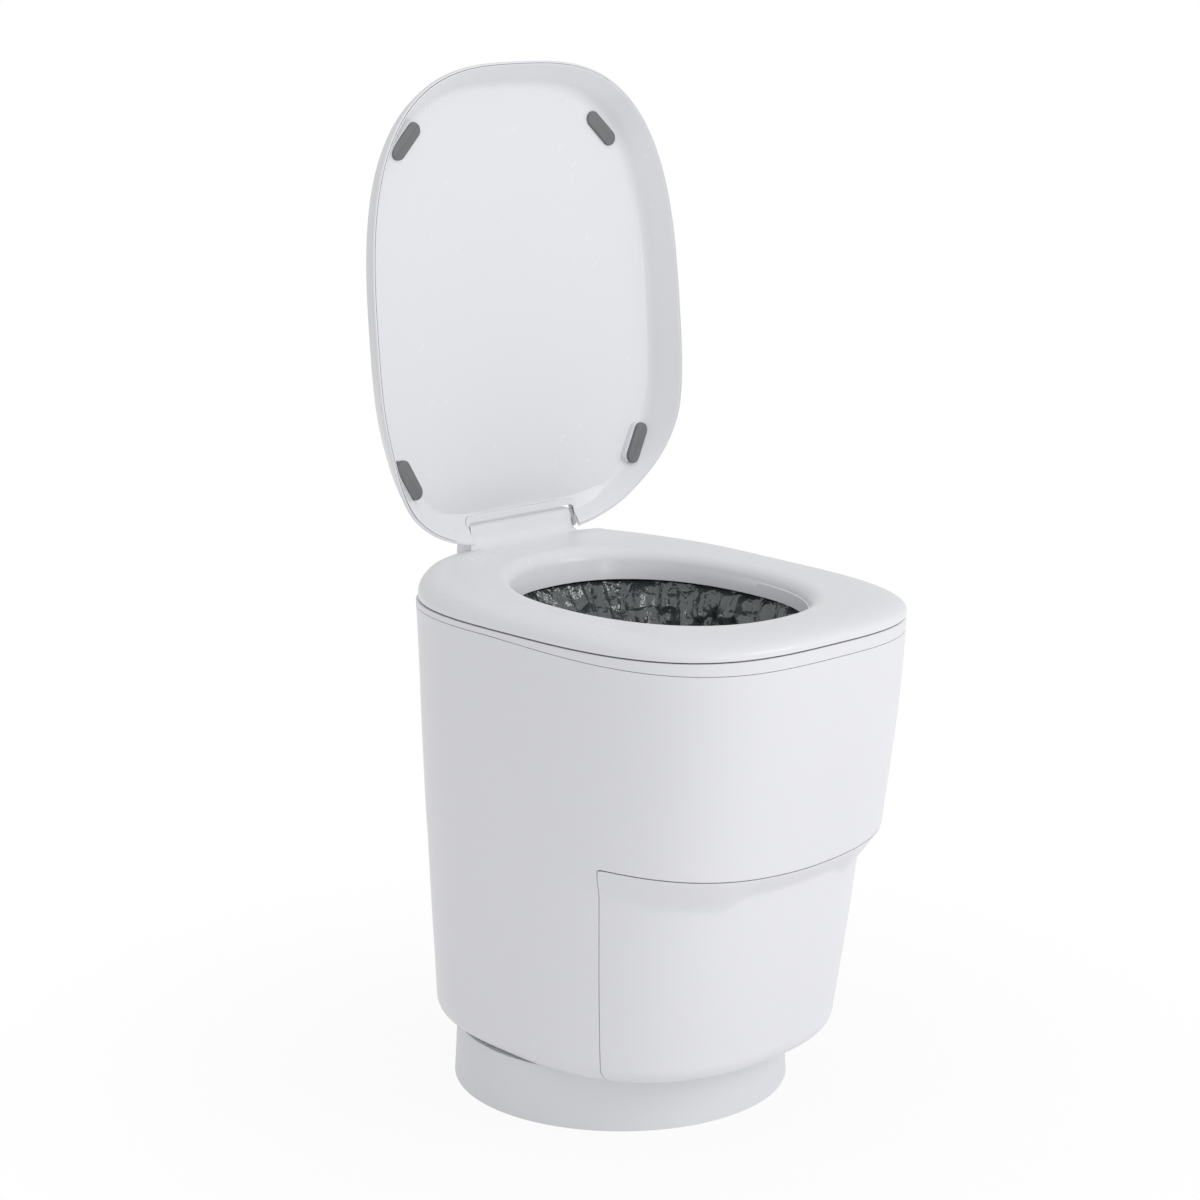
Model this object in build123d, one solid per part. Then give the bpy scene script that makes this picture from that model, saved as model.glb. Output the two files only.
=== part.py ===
from build123d import *
import os
from math import cos, pi, radians, sin

# Sealing toilet with its lid open: a tapered cabinet on a round plinth, a hinged seat, a deep lid,
# a waste drawer in the stepped front and a film sealing unit inside.
# Frame: origin on the floor at the centre of the round plinth, -Y to the front, +X to the right, +Z up.
# All sizes are millimetres.

# Outline of the casing, an egg with its own front and rear length and squareness
MID_Y = -35.5
HALF_WIDTH = 182.0
FRONT_LENGTH = 232.0
REAR_LENGTH = 201.0
FRONT_POWER = 3.15
REAR_POWER = 3.05
OUTLINE_ARCS = 16

# Heights of the casing
RING_HEIGHT = 56.0
RUNNING_GAP = 3.0
CASING_BOTTOM = RING_HEIGHT + RUNNING_GAP
WALL_FOOT = 80.0
STEP_BOTTOM = 222.0
STEP_TOP = 255.0
BULGE_Z = 370.0
COLLAR_BOTTOM = 458.0
COLLAR_TOP = 468.0

# How far the casing draws in below the collar, and how round its front gets
BULGE_SIDE_INSET = 3.0
BULGE_FRONT_INSET = 9.0
STEP_SIDE_INSET = 6.0
STEP_FRONT_INSET = 28.0
UNDER_STEP_SIDE_INSET = 7.5
UNDER_STEP_FRONT_INSET = 46.0
UNDER_STEP_POWER = 2.7
FOOT_SIDE_INSET = 13.0
FOOT_FRONT_INSET = 64.5
FOOT_POWER = 2.4
BOTTOM_ROUNDING = 19.0

# Walls and clearances
CASING_WALL = 3.0
FLOOR_THICKNESS = 4.0
SOFT_GAP = 0.3
PART_GAP = 0.5
SEAM_GAP = 1.0
RUNNING_FIT = 0.08

# Round plinth with its deck and swivel hub
RING_RADIUS = 160.0
RING_TOP_RADIUS = 157.0
RING_WALL = 4.0
DECK_THICKNESS = 4.0
HUB_RADIUS = 58.0
HUB_WALL = 12.0
GASKET_THICKNESS = 2.0
FLANGE_THICKNESS = 4.0
FLANGE_INNER_RADIUS = 112.0
FLOOR_BOLT_CIRCLE = 262.0
FLOOR_BOLT_HOLE = 6.5
FLOOR_BOLT_COUNT = 4
FLOOR_BOSS_RADIUS = 8.0
GLIDE_INNER_RADIUS = 112.0
GLIDE_WIDTH = 14.0
GLIDE_PLAY = 0.1
RETAINER_THICKNESS = 4.0
RETAINER_OVERLAP = 14.0
RETAINER_SCREW_COUNT = 4

# Waste drawer
DRAWER_SEAM_Y = -143.0
DRAWER_CORNER = 12.0
DRAWER_GAP = 0.8
TRAY_HALF_WIDTH = 124.0
TRAY_FRONT_Y = -146.0
TRAY_REAR_Y = 112.0
TRAY_BOTTOM = 84.0
TRAY_HEIGHT = 156.0
TRAY_WALL = 2.5
TRAY_CORNER = 18.0
FRONT_RIB_X = 62.0
FRONT_RIB_THICKNESS = 12.0
SLIDE_Z = 122.0
SLIDE_HEIGHT = 22.0
SLIDE_THICKNESS = 4.0
RUNNER_FRONT_Y = -136.0
RUNNER_REAR_Y = 96.0

# Inner deck over the drawer bay, carried by ribs of the casing
DECK_Z = 262.0
INNER_DECK_THICKNESS = 4.0
RIB_INNER_X = 138.0
RIB_THICKNESS = 8.0
RIB_PLACES = (-100.0, 92.0)
DECK_SCREW_RADIUS = 2.0
DECK_SCREW_X = 150.0
FILM_SLOT_HALF_LENGTH = 106.0
FILM_SLOT_HALF_WIDTH = 18.0

# Film path: cassette, funnel and film
BOWL_Y = -50.0
BOWL_POWER = 2.3
MOUTH_HALF_WIDTH = 118.0
MOUTH_HALF_LENGTH = 148.0
COLLAR_OPENING_EXTRA = 6.0
CASSETTE_HEIGHT = 27.0
CASSETTE_WIDTH = 27.0
FUNNEL_FLANGE_Z = 426.0
FUNNEL_WALL = 2.5
FUNNEL_FLANGE_HALF_WIDTH = 164.0
FUNNEL_FLANGE_HALF_LENGTH = 192.0
FUNNEL_FOOT_Z = 345.0
FUNNEL_FOOT_HALF_WIDTH = 104.0
FUNNEL_FOOT_HALF_LENGTH = 24.0
HANGER_X = 156.0
HANGER_Y = 30.0
HANGER_RADIUS = 4.0
FILM_THICKNESS = 0.9
FILM_CLEARANCE = 2.5
FILM_END_Z = 318.0
FILM_END_HALF_LENGTH = 5.0

# Sealing unit on the inner deck
JAW_BOTTOM = 290.0
JAW_TOP = 314.0
JAW_THICKNESS = 14.0
JAW_HALF_LENGTH = 136.0
JAW_LEG_LENGTH = 8.0
FIXED_JAW_FRONT = -72.0
PAD_THICKNESS = 2.5
HEATER_THICKNESS = 2.0
HEATER_HALF_LENGTH = 104.0
JAW_TRAVEL = 27.0
JAW_SHUT_GAP = 0.5
REAR_BLOCK_FRONT = 52.0
REAR_BLOCK_THICKNESS = 10.0
ROD_X = 124.0
ROD_RADIUS = 4.0
SCREW_RADIUS = 4.0
JOURNAL_RADIUS = 3.0
NUT_LENGTH = 36.0
NUT_RADIUS = 9.0
COUPLER_RADIUS = 7.0
COUPLER_LENGTH = 14.0
MOTOR_RADIUS = 16.0
MOTOR_LENGTH = 44.0
MOTOR_SHAFT_RADIUS = 2.5
BRACKET_THICKNESS = 4.0
ROLLER_Z = 276.5
ROLLER_RADIUS = 8.0
ROLLER_CORE_RADIUS = 5.0
ROLLER_HALF_LENGTH = 103.0
ROLLER_NIP = 1.2
AXLE_RADIUS = 3.0
ROLLER_BRACKET_X = 110.0
ROLLER_BRACKET_THICKNESS = 8.0
ROLLER_MOTOR_RADIUS = 9.0
ROLLER_MOTOR_LENGTH = 34.0

# Control board, power inlet and button panel
BOARD_X = -82.0
BOARD_Y = 98.0
BOARD_LENGTH = 62.0
BOARD_WIDTH = 50.0
BOARD_THICKNESS = 1.6
STANDOFF_HEIGHT = 7.0
STANDOFF_RADIUS = 3.0
INLET_X = 62.0
INLET_Z = 300.0
INLET_RADIUS = 9.0
INLET_FLANGE_RADIUS = 12.0
INLET_FLANGE_Y = 155.6
INLET_FLANGE_THICKNESS = 3.0
INLET_MOUTH_RADIUS = 7.5
INLET_MOUTH_DEPTH = 7.0
INLET_BORE = 5.5
INLET_DEPTH = 14.0
INLET_END_WALL = 4.0
PANEL_Y = -10.0
PANEL_Z = 424.0
PANEL_LENGTH = 62.0
PANEL_HEIGHT = 28.0
PANEL_OUTER_X = 183.0
PANEL_THICKNESS = 8.0
PANEL_CORNER = 6.0
BUTTON_SPACING = 30.0
BUTTON_RADIUS = 9.0
BUTTON_PROUD = 1.8
BUTTON_TRAVEL = 1.5
BUTTON_LENGTH = 8.0
SWITCH_BOARD_THICKNESS = 1.6
SWITCH_HEIGHT = 4.0
SWITCH_SIZE = 7.0

# Seat
SEAT_BOTTOM = COLLAR_TOP + SEAM_GAP
SEAT_HEIGHT = 21.5
SEAT_WALL = 3.0
SEAT_OUTER_ROUNDING = 15.0
SEAT_INNER_ROUNDING = 10.0
SKIRT_DEPTH = 8.0
SKIRT_WALL = 3.0
BUMPER_RADIUS = 6.0
BUMPER_X = 150.0
BUMPER_Y = 95.0
SEAT_HINGE_Y = 170.5
SEAT_HINGE_Z = 467.0
SEAT_BARREL_RADIUS = 4.5
SEAT_PIN_RADIUS = 2.0
SEAT_BARREL_INNER_X = 28.0
SEAT_BARREL_LENGTH = 13.0
HINGE_LEAF_HEIGHT = 20.0
HINGE_LEAF_THICKNESS = 2.5
REAR_FLAT_Y = 164.0

# Lid hinge block on the seat
LID_HINGE_Y = 147.3
LID_HINGE_Z = 513.2
BLOCK_HALF_WIDTH = 64.7
BLOCK_TOP = 526.0
BLOCK_FRONT_Y = 112.0
BLOCK_REAR_Y = 160.0
LID_PIN_RADIUS = 3.0
LID_BARREL_RADIUS = 6.5
LID_BARREL_LENGTH = 10.0
DAMPER_RADIUS = 5.0
DAMPER_LENGTH = 28.0

# Lid, drawn shut and then opened
LID_HALF_WIDTH = 192.0
LID_FRONT_LENGTH = 255.0
LID_REAR_LENGTH = 209.5
LID_FRONT_POWER = 2.91
LID_RIM_Z = 466.0
LID_TOP_Z = 514.0
LID_DRAFT = 5.0
LID_WALL = 3.5
LID_ROUNDING = 26.0
PANEL_FACE_Z = 499.0
PANEL_WALL = 2.5
PANEL_RIM_INSET = 4.0
PANEL_SHOULDER_Z = 480.0
PANEL_SHOULDER_INSET = 5.5
PANEL_FACE_INSET = 16.0
RISE_START_Y = 55.0
RISE_END_Y = 135.0
RISE_TO_Z = 498.0
RISE_REAR_Y = 152.0
RISE_REAR_Z = 507.0
NOTCH_FRONT_Y = 130.0
NOTCH_HALF_WIDTH = 75.5
WEB_THICKNESS = 3.0
LID_OPEN_ANGLE = 94.88
PAD_LENGTH = 42.0
PAD_WIDTH = 15.0
FRONT_PAD = (121.5, -223.0, 45.0)
REAR_PAD = (145.0, 85.0, 62.0)


def outline(half_width, front, rear, front_power, rear_power, z, mid_y=MID_Y):
    """Closed egg outline at height z: arcs through points of the superellipse formula."""
    points = []
    for step in range(2 * OUTLINE_ARCS + 1):
        angle = pi * step / OUTLINE_ARCS
        across, along = cos(angle), sin(angle)
        power, length = (rear_power, rear) if along > 0 else (front_power, front)
        reach = (abs(across) ** power + abs(along) ** power) ** (-1 / power)
        points.append((across * reach * half_width, mid_y + along * reach * length, z))
    points[-1] = points[0]
    arcs = [ThreePointArc(*points[k : k + 3]).edge() for k in range(0, 2 * OUTLINE_ARCS, 2)]
    return Wire(arcs)


def casing_outline(z, side_inset, front_inset, front_power, wall=0.0):
    """Casing outline drawn in by its own insets, and by a wall for the hollow inside."""
    return outline(
        HALF_WIDTH - side_inset - wall,
        FRONT_LENGTH - front_inset - wall,
        REAR_LENGTH - side_inset - wall,
        front_power,
        REAR_POWER,
        z,
    )


def bowl_outline(half_width, half_length, z, power=BOWL_POWER):
    return outline(half_width, half_length, half_length, power, power, z, BOWL_Y)


def lid_outline(inset, z):
    return outline(
        LID_HALF_WIDTH - inset,
        LID_FRONT_LENGTH - inset,
        LID_REAR_LENGTH - inset,
        LID_FRONT_POWER,
        REAR_POWER,
        z,
    )


def skin(*wires):
    """Solid through closed outlines, straight from each one to the next."""
    return Solid.make_loft(list(wires), ruled=True)


def block(x0, x1, y0, y1, z0, z1):
    return Pos((x0 + x1) / 2, (y0 + y1) / 2, (z0 + z1) / 2) * Box(x1 - x0, y1 - y0, z1 - z0)


def post(radius, x, y, z0, z1):
    return Pos(x, y, (z0 + z1) / 2) * Cylinder(radius, z1 - z0)


def rod_along_y(radius, x, z, y0, y1):
    return Pos(x, (y0 + y1) / 2, z) * Rot(90, 0, 0) * Cylinder(radius, y1 - y0)


def rod_along_x(radius, y, z, x0, x1):
    return Pos((x0 + x1) / 2, y, z) * Rot(0, 90, 0) * Cylinder(radius, x1 - x0)


def tube(outer, inner, z0, z1):
    return post(outer, 0, 0, z0, z1) - post(inner, 0, 0, z0 - 1, z1 + 1)


def upper_casing(wall, top):
    share = (top - BULGE_Z) / (COLLAR_TOP - BULGE_Z)
    return skin(
        casing_outline(STEP_TOP, STEP_SIDE_INSET, STEP_FRONT_INSET, FRONT_POWER, wall),
        casing_outline(BULGE_Z, BULGE_SIDE_INSET, BULGE_FRONT_INSET, FRONT_POWER, wall),
        casing_outline(
            top, BULGE_SIDE_INSET * (1 - share), BULGE_FRONT_INSET * (1 - share), FRONT_POWER, wall
        ),
    )


def step_casing(wall):
    return skin(
        casing_outline(
            STEP_BOTTOM, UNDER_STEP_SIDE_INSET, UNDER_STEP_FRONT_INSET, UNDER_STEP_POWER, wall
        ),
        casing_outline(STEP_TOP, STEP_SIDE_INSET, STEP_FRONT_INSET, FRONT_POWER, wall),
    )


def foot_casing(wall, bottom, rounding):
    """Lower casing with its rounded bottom edge."""
    walls = skin(
        casing_outline(WALL_FOOT, FOOT_SIDE_INSET, FOOT_FRONT_INSET, FOOT_POWER, wall),
        casing_outline(
            STEP_BOTTOM, UNDER_STEP_SIDE_INSET, UNDER_STEP_FRONT_INSET, UNDER_STEP_POWER, wall
        ),
    )
    turn = radians(40)
    drop = WALL_FOOT - bottom
    rim_inset = rounding * (1 - cos(turn))
    foot = skin(
        casing_outline(bottom, FOOT_SIDE_INSET + rounding, FOOT_FRONT_INSET + rounding, FOOT_POWER, wall),
        casing_outline(
            WALL_FOOT - drop * sin(turn),
            FOOT_SIDE_INSET + rim_inset,
            FOOT_FRONT_INSET + rim_inset,
            FOOT_POWER,
            wall,
        ),
        casing_outline(WALL_FOOT, FOOT_SIDE_INSET, FOOT_FRONT_INSET, FOOT_POWER, wall),
    )
    return walls + foot


def casing_solid():
    foot = foot_casing(0.0, CASING_BOTTOM, BOTTOM_ROUNDING)
    return upper_casing(0.0, COLLAR_BOTTOM) + step_casing(0.0) + foot


def casing_hollow():
    floor_top = CASING_BOTTOM + FLOOR_THICKNESS
    return (
        upper_casing(CASING_WALL, COLLAR_TOP)
        + step_casing(CASING_WALL)
        + foot_casing(CASING_WALL, floor_top, BOTTOM_ROUNDING)
    )


def drawer_cutter(gap):
    """Everything that comes away with the drawer front, seen from the side as a rounded rectangle."""
    depth = FRONT_LENGTH * 2
    top = STEP_TOP - gap
    rear = DRAWER_SEAM_Y - gap
    cutter = block(-HALF_WIDTH * 2, HALF_WIDTH * 2, rear - depth, rear, CASING_BOTTOM - depth, top)
    corner = cutter.edges().filter_by(Axis.X).sort_by(Axis.Z)[-2:].sort_by(Axis.Y)[-1]
    return fillet(corner, DRAWER_CORNER)


def casing_shell():
    outside = casing_solid()
    shell = outside - casing_hollow()
    ribs = Part()
    for side in (-1, 1):
        for y in RIB_PLACES:
            x0, x1 = sorted((side * RIB_INNER_X, side * HALF_WIDTH))
            ribs += block(x0, x1, y - RIB_THICKNESS / 2, y + RIB_THICKNESS / 2, CASING_BOTTOM, DECK_Z)
    shell += ribs & outside
    for x, y in deck_screw_places():
        shell -= post(DECK_SCREW_RADIUS + RUNNING_FIT, x, y, DECK_Z - 14, DECK_Z + 1)
    return shell


def build_body_shell(shell):
    body = shell - drawer_cutter(0.0)
    body -= post(HUB_RADIUS + RUNNING_FIT, 0, 0, 0, CASING_BOTTOM + FLOOR_THICKNESS + 1)
    body -= rod_along_y(INLET_RADIUS + SOFT_GAP, INLET_X, INLET_Z, 120, 200)
    body -= rod_along_y(INLET_FLANGE_RADIUS + SOFT_GAP, INLET_X, INLET_Z, INLET_FLANGE_Y, 200)
    body -= panel_window(SOFT_GAP)
    body -= rear_flat()
    return body


def rear_flat():
    """Flat pocket at the back of the collar and casing, where the seat hinge leaves sit."""
    reach = SEAT_BARREL_INNER_X + 2 * SEAT_BARREL_LENGTH + 4
    low = SEAT_HINGE_Z - HINGE_LEAF_HEIGHT - 1
    return block(-reach, reach, REAR_FLAT_Y, REAR_FLAT_Y + 20, low, COLLAR_TOP + 1)


def build_drawer_front(shell, outside):
    front = shell & drawer_cutter(DRAWER_GAP)
    rib_top = STEP_BOTTOM - 8
    rib_low = CASING_BOTTOM + FLOOR_THICKNESS
    for x in (-FRONT_RIB_X, FRONT_RIB_X):
        rib = block(
            x - FRONT_RIB_THICKNESS / 2, x + FRONT_RIB_THICKNESS / 2, -400, TRAY_FRONT_Y, rib_low, rib_top
        )
        front += rib & outside
    for x, z in drawer_screw_places():
        front -= rod_along_y(DECK_SCREW_RADIUS + RUNNING_FIT, x, z, TRAY_FRONT_Y - 14, TRAY_FRONT_Y + 1)
    return front


def build_rim_collar():
    share = (COLLAR_BOTTOM - BULGE_Z) / (COLLAR_TOP - BULGE_Z)
    band = skin(
        casing_outline(
            COLLAR_BOTTOM, BULGE_SIDE_INSET * (1 - share), BULGE_FRONT_INSET * (1 - share), FRONT_POWER
        ),
        casing_outline(COLLAR_TOP, 0, 0, FRONT_POWER),
    )
    width, length = MOUTH_HALF_WIDTH + COLLAR_OPENING_EXTRA, MOUTH_HALF_LENGTH + COLLAR_OPENING_EXTRA
    opening = skin(bowl_outline(width, length, COLLAR_BOTTOM - 1), bowl_outline(width, length, COLLAR_TOP + 1))
    return band - opening - rear_flat()


def build_base_ring():
    outer = Pos(0, 0, RING_HEIGHT / 2) * Cone(RING_RADIUS, RING_TOP_RADIUS, RING_HEIGHT)
    inner = Pos(0, 0, RING_HEIGHT / 2) * Cone(RING_RADIUS - RING_WALL, RING_TOP_RADIUS - RING_WALL, RING_HEIGHT)
    ring = outer - inner
    deck_low = RING_HEIGHT - DECK_THICKNESS
    hub_inner = HUB_RADIUS - HUB_WALL
    ring += tube(RING_TOP_RADIUS - RING_WALL / 2, hub_inner, deck_low, RING_HEIGHT)
    ring += tube(HUB_RADIUS, hub_inner, deck_low, hub_top())
    ring += tube(
        RING_RADIUS - RING_WALL / 2, FLANGE_INNER_RADIUS, GASKET_THICKNESS, GASKET_THICKNESS + FLANGE_THICKNESS
    )
    for hole in PolarLocations(FLOOR_BOLT_CIRCLE / 2, FLOOR_BOLT_COUNT, start_angle=45):
        ring += hole * post(FLOOR_BOSS_RADIUS, 0, 0, 0, GASKET_THICKNESS + 1)
        ring -= hole * Cylinder(FLOOR_BOLT_HOLE / 2, 30)
    for x, y in retainer_screw_places():
        ring -= post(DECK_SCREW_RADIUS + RUNNING_FIT, x, y, deck_low + 1, hub_top() + 1)
    return ring


def hub_top():
    return CASING_BOTTOM + FLOOR_THICKNESS + SOFT_GAP


def retainer_screw_places():
    radius = HUB_RADIUS - HUB_WALL / 2
    turns = [pi / 4 + 2 * pi * k / RETAINER_SCREW_COUNT for k in range(RETAINER_SCREW_COUNT)]
    return [(radius * cos(a), radius * sin(a)) for a in turns]


def deck_screw_places():
    return [(side * DECK_SCREW_X, y) for side in (-1, 1) for y in RIB_PLACES]


def drawer_screw_places():
    return [(x, z) for x in (-FRONT_RIB_X, FRONT_RIB_X) for z in (110.0, 190.0)]


def screw_down(x, y, z, length):
    """Pan-head screw whose head sits on z."""
    return post(DECK_SCREW_RADIUS * 2, x, y, z, z + 2) + post(DECK_SCREW_RADIUS, x, y, z - length, z)


def build_base():
    floor_gasket = tube(RING_RADIUS - RING_WALL - SOFT_GAP, FLANGE_INNER_RADIUS + 4, 0, GASKET_THICKNESS)
    for hole in PolarLocations(FLOOR_BOLT_CIRCLE / 2, FLOOR_BOLT_COUNT, start_angle=45):
        floor_gasket -= hole * Cylinder(FLOOR_BOSS_RADIUS + PART_GAP, 30)
    glide_outer = GLIDE_INNER_RADIUS + GLIDE_WIDTH
    glide_ring = tube(glide_outer, GLIDE_INNER_RADIUS, RING_HEIGHT, CASING_BOTTOM - GLIDE_PLAY)
    retainer_ring = tube(
        HUB_RADIUS + RETAINER_OVERLAP, HUB_RADIUS - HUB_WALL, hub_top(), hub_top() + RETAINER_THICKNESS
    )
    screws = Part()
    for x, y in retainer_screw_places():
        retainer_ring -= post(DECK_SCREW_RADIUS + RUNNING_FIT, x, y, 0, 100)
        screws += screw_down(x, y, hub_top() + RETAINER_THICKNESS, 12)
    return {
        "base_ring": build_base_ring(),
        "floor_gasket": floor_gasket,
        "glide_ring": glide_ring,
        "retainer_ring": retainer_ring,
        "retainer_screws": screws,
    }


def build_deck():
    low, top = DECK_Z, DECK_Z + INNER_DECK_THICKNESS
    room = CASING_WALL + PART_GAP
    deck = skin(
        casing_outline(low, STEP_SIDE_INSET, STEP_FRONT_INSET, FRONT_POWER, room),
        casing_outline(top, STEP_SIDE_INSET, STEP_FRONT_INSET, FRONT_POWER, room),
    )
    deck -= block(
        -FILM_SLOT_HALF_LENGTH,
        FILM_SLOT_HALF_LENGTH,
        BOWL_Y - FILM_SLOT_HALF_WIDTH,
        BOWL_Y + FILM_SLOT_HALF_WIDTH,
        low - 1,
        top + 1,
    )
    screws = Part()
    for x, y in deck_screw_places():
        deck -= post(DECK_SCREW_RADIUS + RUNNING_FIT, x, y, low - 1, top + 1)
        screws += screw_down(x, y, top, 14)
    return {"mid_deck": deck, "deck_screws": screws}


def build_film_path():
    flange_top = FUNNEL_FLANGE_Z + FUNNEL_WALL
    flange = skin(
        bowl_outline(FUNNEL_FLANGE_HALF_WIDTH, FUNNEL_FLANGE_HALF_LENGTH, FUNNEL_FLANGE_Z, 2.6),
        bowl_outline(FUNNEL_FLANGE_HALF_WIDTH, FUNNEL_FLANGE_HALF_LENGTH, flange_top, 2.6),
    )
    grow = FUNNEL_WALL

    def cone(extra):
        return skin(
            bowl_outline(FUNNEL_FOOT_HALF_WIDTH + extra, FUNNEL_FOOT_HALF_LENGTH + extra, FUNNEL_FOOT_Z),
            bowl_outline(MOUTH_HALF_WIDTH + extra, MOUTH_HALF_LENGTH + extra, flange_top),
        )

    funnel = (flange + cone(grow)) - cone(0.0)
    hangers = Part()
    for x in (-HANGER_X, HANGER_X):
        for y in (BOWL_Y - HANGER_Y, BOWL_Y + HANGER_Y):
            hangers += post(HANGER_RADIUS, x, y, flange_top, COLLAR_BOTTOM)

    cassette_low = flange_top
    cassette_top = cassette_low + CASSETTE_HEIGHT
    film_top_width = MOUTH_HALF_WIDTH + FILM_CLEARANCE + 1
    film_top_length = MOUTH_HALF_LENGTH + FILM_CLEARANCE + 1
    inner_x, inner_y = film_top_width + SOFT_GAP, film_top_length + SOFT_GAP

    def cassette_body(extra, low, top):
        return skin(
            bowl_outline(inner_x + extra, inner_y + extra, low),
            bowl_outline(inner_x + extra, inner_y + extra, top),
        )

    cassette = cassette_body(CASSETTE_WIDTH, cassette_low, cassette_top)
    cassette -= cassette_body(0.0, cassette_low - 1, cassette_top + 1)

    def film_side(inner):
        funnel_width = MOUTH_HALF_WIDTH - FILM_CLEARANCE - inner
        funnel_length = MOUTH_HALF_LENGTH - FILM_CLEARANCE - inner
        foot_width = FUNNEL_FOOT_HALF_WIDTH - FILM_CLEARANCE - inner
        foot_length = FUNNEL_FOOT_HALF_LENGTH - FILM_CLEARANCE - inner
        end_length = FILM_END_HALF_LENGTH - inner
        return skin(
            bowl_outline(foot_width - 1, end_length, FILM_END_Z + inner),
            bowl_outline(foot_width, foot_length, FUNNEL_FOOT_Z),
            bowl_outline(funnel_width, funnel_length, flange_top),
            bowl_outline(film_top_width - inner, film_top_length - inner, cassette_top + (1 if inner else 0)),
        )

    film = film_side(0.0) - film_side(FILM_THICKNESS)
    return {
        "funnel": funnel,
        "hanger_posts": hangers,
        "liner_cassette": cassette,
        "liner_film": film,
    }


def jaw_z():
    return (JAW_BOTTOM + JAW_TOP) / 2


def moving_jaw_front():
    """Front face of the heater strip with the jaws apart."""
    pad_face = FIXED_JAW_FRONT + JAW_THICKNESS + PAD_THICKNESS
    return pad_face + JAW_SHUT_GAP + JAW_TRAVEL


def build_sealing_unit():
    deck_top = DECK_Z + INNER_DECK_THICKNESS
    fixed_rear = FIXED_JAW_FRONT + JAW_THICKNESS
    rear_block_rear = REAR_BLOCK_FRONT + REAR_BLOCK_THICKNESS

    def bar(y0, y1):
        solid = block(-JAW_HALF_LENGTH, JAW_HALF_LENGTH, y0, y1, JAW_BOTTOM, JAW_TOP)
        for side in (-1, 1):
            x0, x1 = sorted((side * JAW_HALF_LENGTH, side * (JAW_HALF_LENGTH - JAW_LEG_LENGTH)))
            solid += block(x0, x1, y0, y1, deck_top, JAW_BOTTOM)
        for x in (-ROD_X, ROD_X):
            solid -= rod_along_y(ROD_RADIUS + RUNNING_FIT, x, jaw_z(), y0 - 1, y1 + 1)
        return solid

    fixed_jaw = bar(FIXED_JAW_FRONT, fixed_rear)
    rear_block = bar(REAR_BLOCK_FRONT, rear_block_rear)
    rear_block -= rod_along_y(JOURNAL_RADIUS + RUNNING_FIT, 0, jaw_z(), REAR_BLOCK_FRONT - 1, rear_block_rear + 1)
    rods = Part()
    for x in (-ROD_X, ROD_X):
        rods += rod_along_y(ROD_RADIUS, x, jaw_z(), FIXED_JAW_FRONT, rear_block_rear)
    pad = block(
        -HEATER_HALF_LENGTH, HEATER_HALF_LENGTH, fixed_rear, fixed_rear + PAD_THICKNESS, jaw_z() - 6, jaw_z() + 6
    )
    heater_front = moving_jaw_front()
    jaw_front = heater_front + HEATER_THICKNESS
    jaw_rear = jaw_front + JAW_THICKNESS - HEATER_THICKNESS
    heater = block(
        -HEATER_HALF_LENGTH, HEATER_HALF_LENGTH, heater_front, jaw_front, jaw_z() - 4, jaw_z() + 4
    )
    moving_jaw = block(-JAW_HALF_LENGTH + 3, JAW_HALF_LENGTH - 3, jaw_front, jaw_rear, JAW_BOTTOM, JAW_TOP)
    for x in (-ROD_X, ROD_X):
        moving_jaw -= rod_along_y(ROD_RADIUS + RUNNING_FIT, x, jaw_z(), jaw_front - 1, jaw_rear + 1)
    screw_front = jaw_front + 3
    moving_jaw -= rod_along_y(SCREW_RADIUS + 2, 0, jaw_z(), screw_front - 1, jaw_rear + 1)
    nut = rod_along_y(NUT_RADIUS, 0, jaw_z(), jaw_rear, jaw_rear + NUT_LENGTH)
    nut -= rod_along_y(SCREW_RADIUS + RUNNING_FIT, 0, jaw_z(), jaw_rear - 1, jaw_rear + NUT_LENGTH + 1)

    screw_rear = REAR_BLOCK_FRONT - PART_GAP
    coupler_front = rear_block_rear + 1
    coupler_rear = coupler_front + COUPLER_LENGTH
    lead_screw = rod_along_y(SCREW_RADIUS, 0, jaw_z(), screw_front, screw_rear)
    lead_screw += rod_along_y(JOURNAL_RADIUS, 0, jaw_z(), screw_rear, coupler_front)
    bracket_front = coupler_rear + 1
    motor_front = bracket_front + BRACKET_THICKNESS
    coupler = rod_along_y(COUPLER_RADIUS, 0, jaw_z(), coupler_front, coupler_rear)
    coupler += rod_along_y(MOTOR_SHAFT_RADIUS, 0, jaw_z(), coupler_rear, motor_front - SOFT_GAP)
    bracket = block(-24, 24, bracket_front, motor_front, deck_top, jaw_z() + MOTOR_RADIUS + 4)
    bracket += block(-24, 24, bracket_front, motor_front + 30, deck_top, deck_top + 3)
    bracket -= rod_along_y(COUPLER_RADIUS + 1, 0, jaw_z(), bracket_front - 1, motor_front + 1)
    motor = rod_along_y(MOTOR_RADIUS, 0, jaw_z(), motor_front, motor_front + MOTOR_LENGTH)
    return {
        "fixed_jaw": fixed_jaw,
        "silicone_pad": pad,
        "rear_block": rear_block,
        "guide_rods": rods,
        "motor_bracket": bracket,
        "jaw_motor": motor,
        "moving_jaw": moving_jaw,
        "heater_strip": heater,
        "jaw_nut": nut,
        "lead_screw": lead_screw,
        "screw_coupler": coupler,
    }


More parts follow.
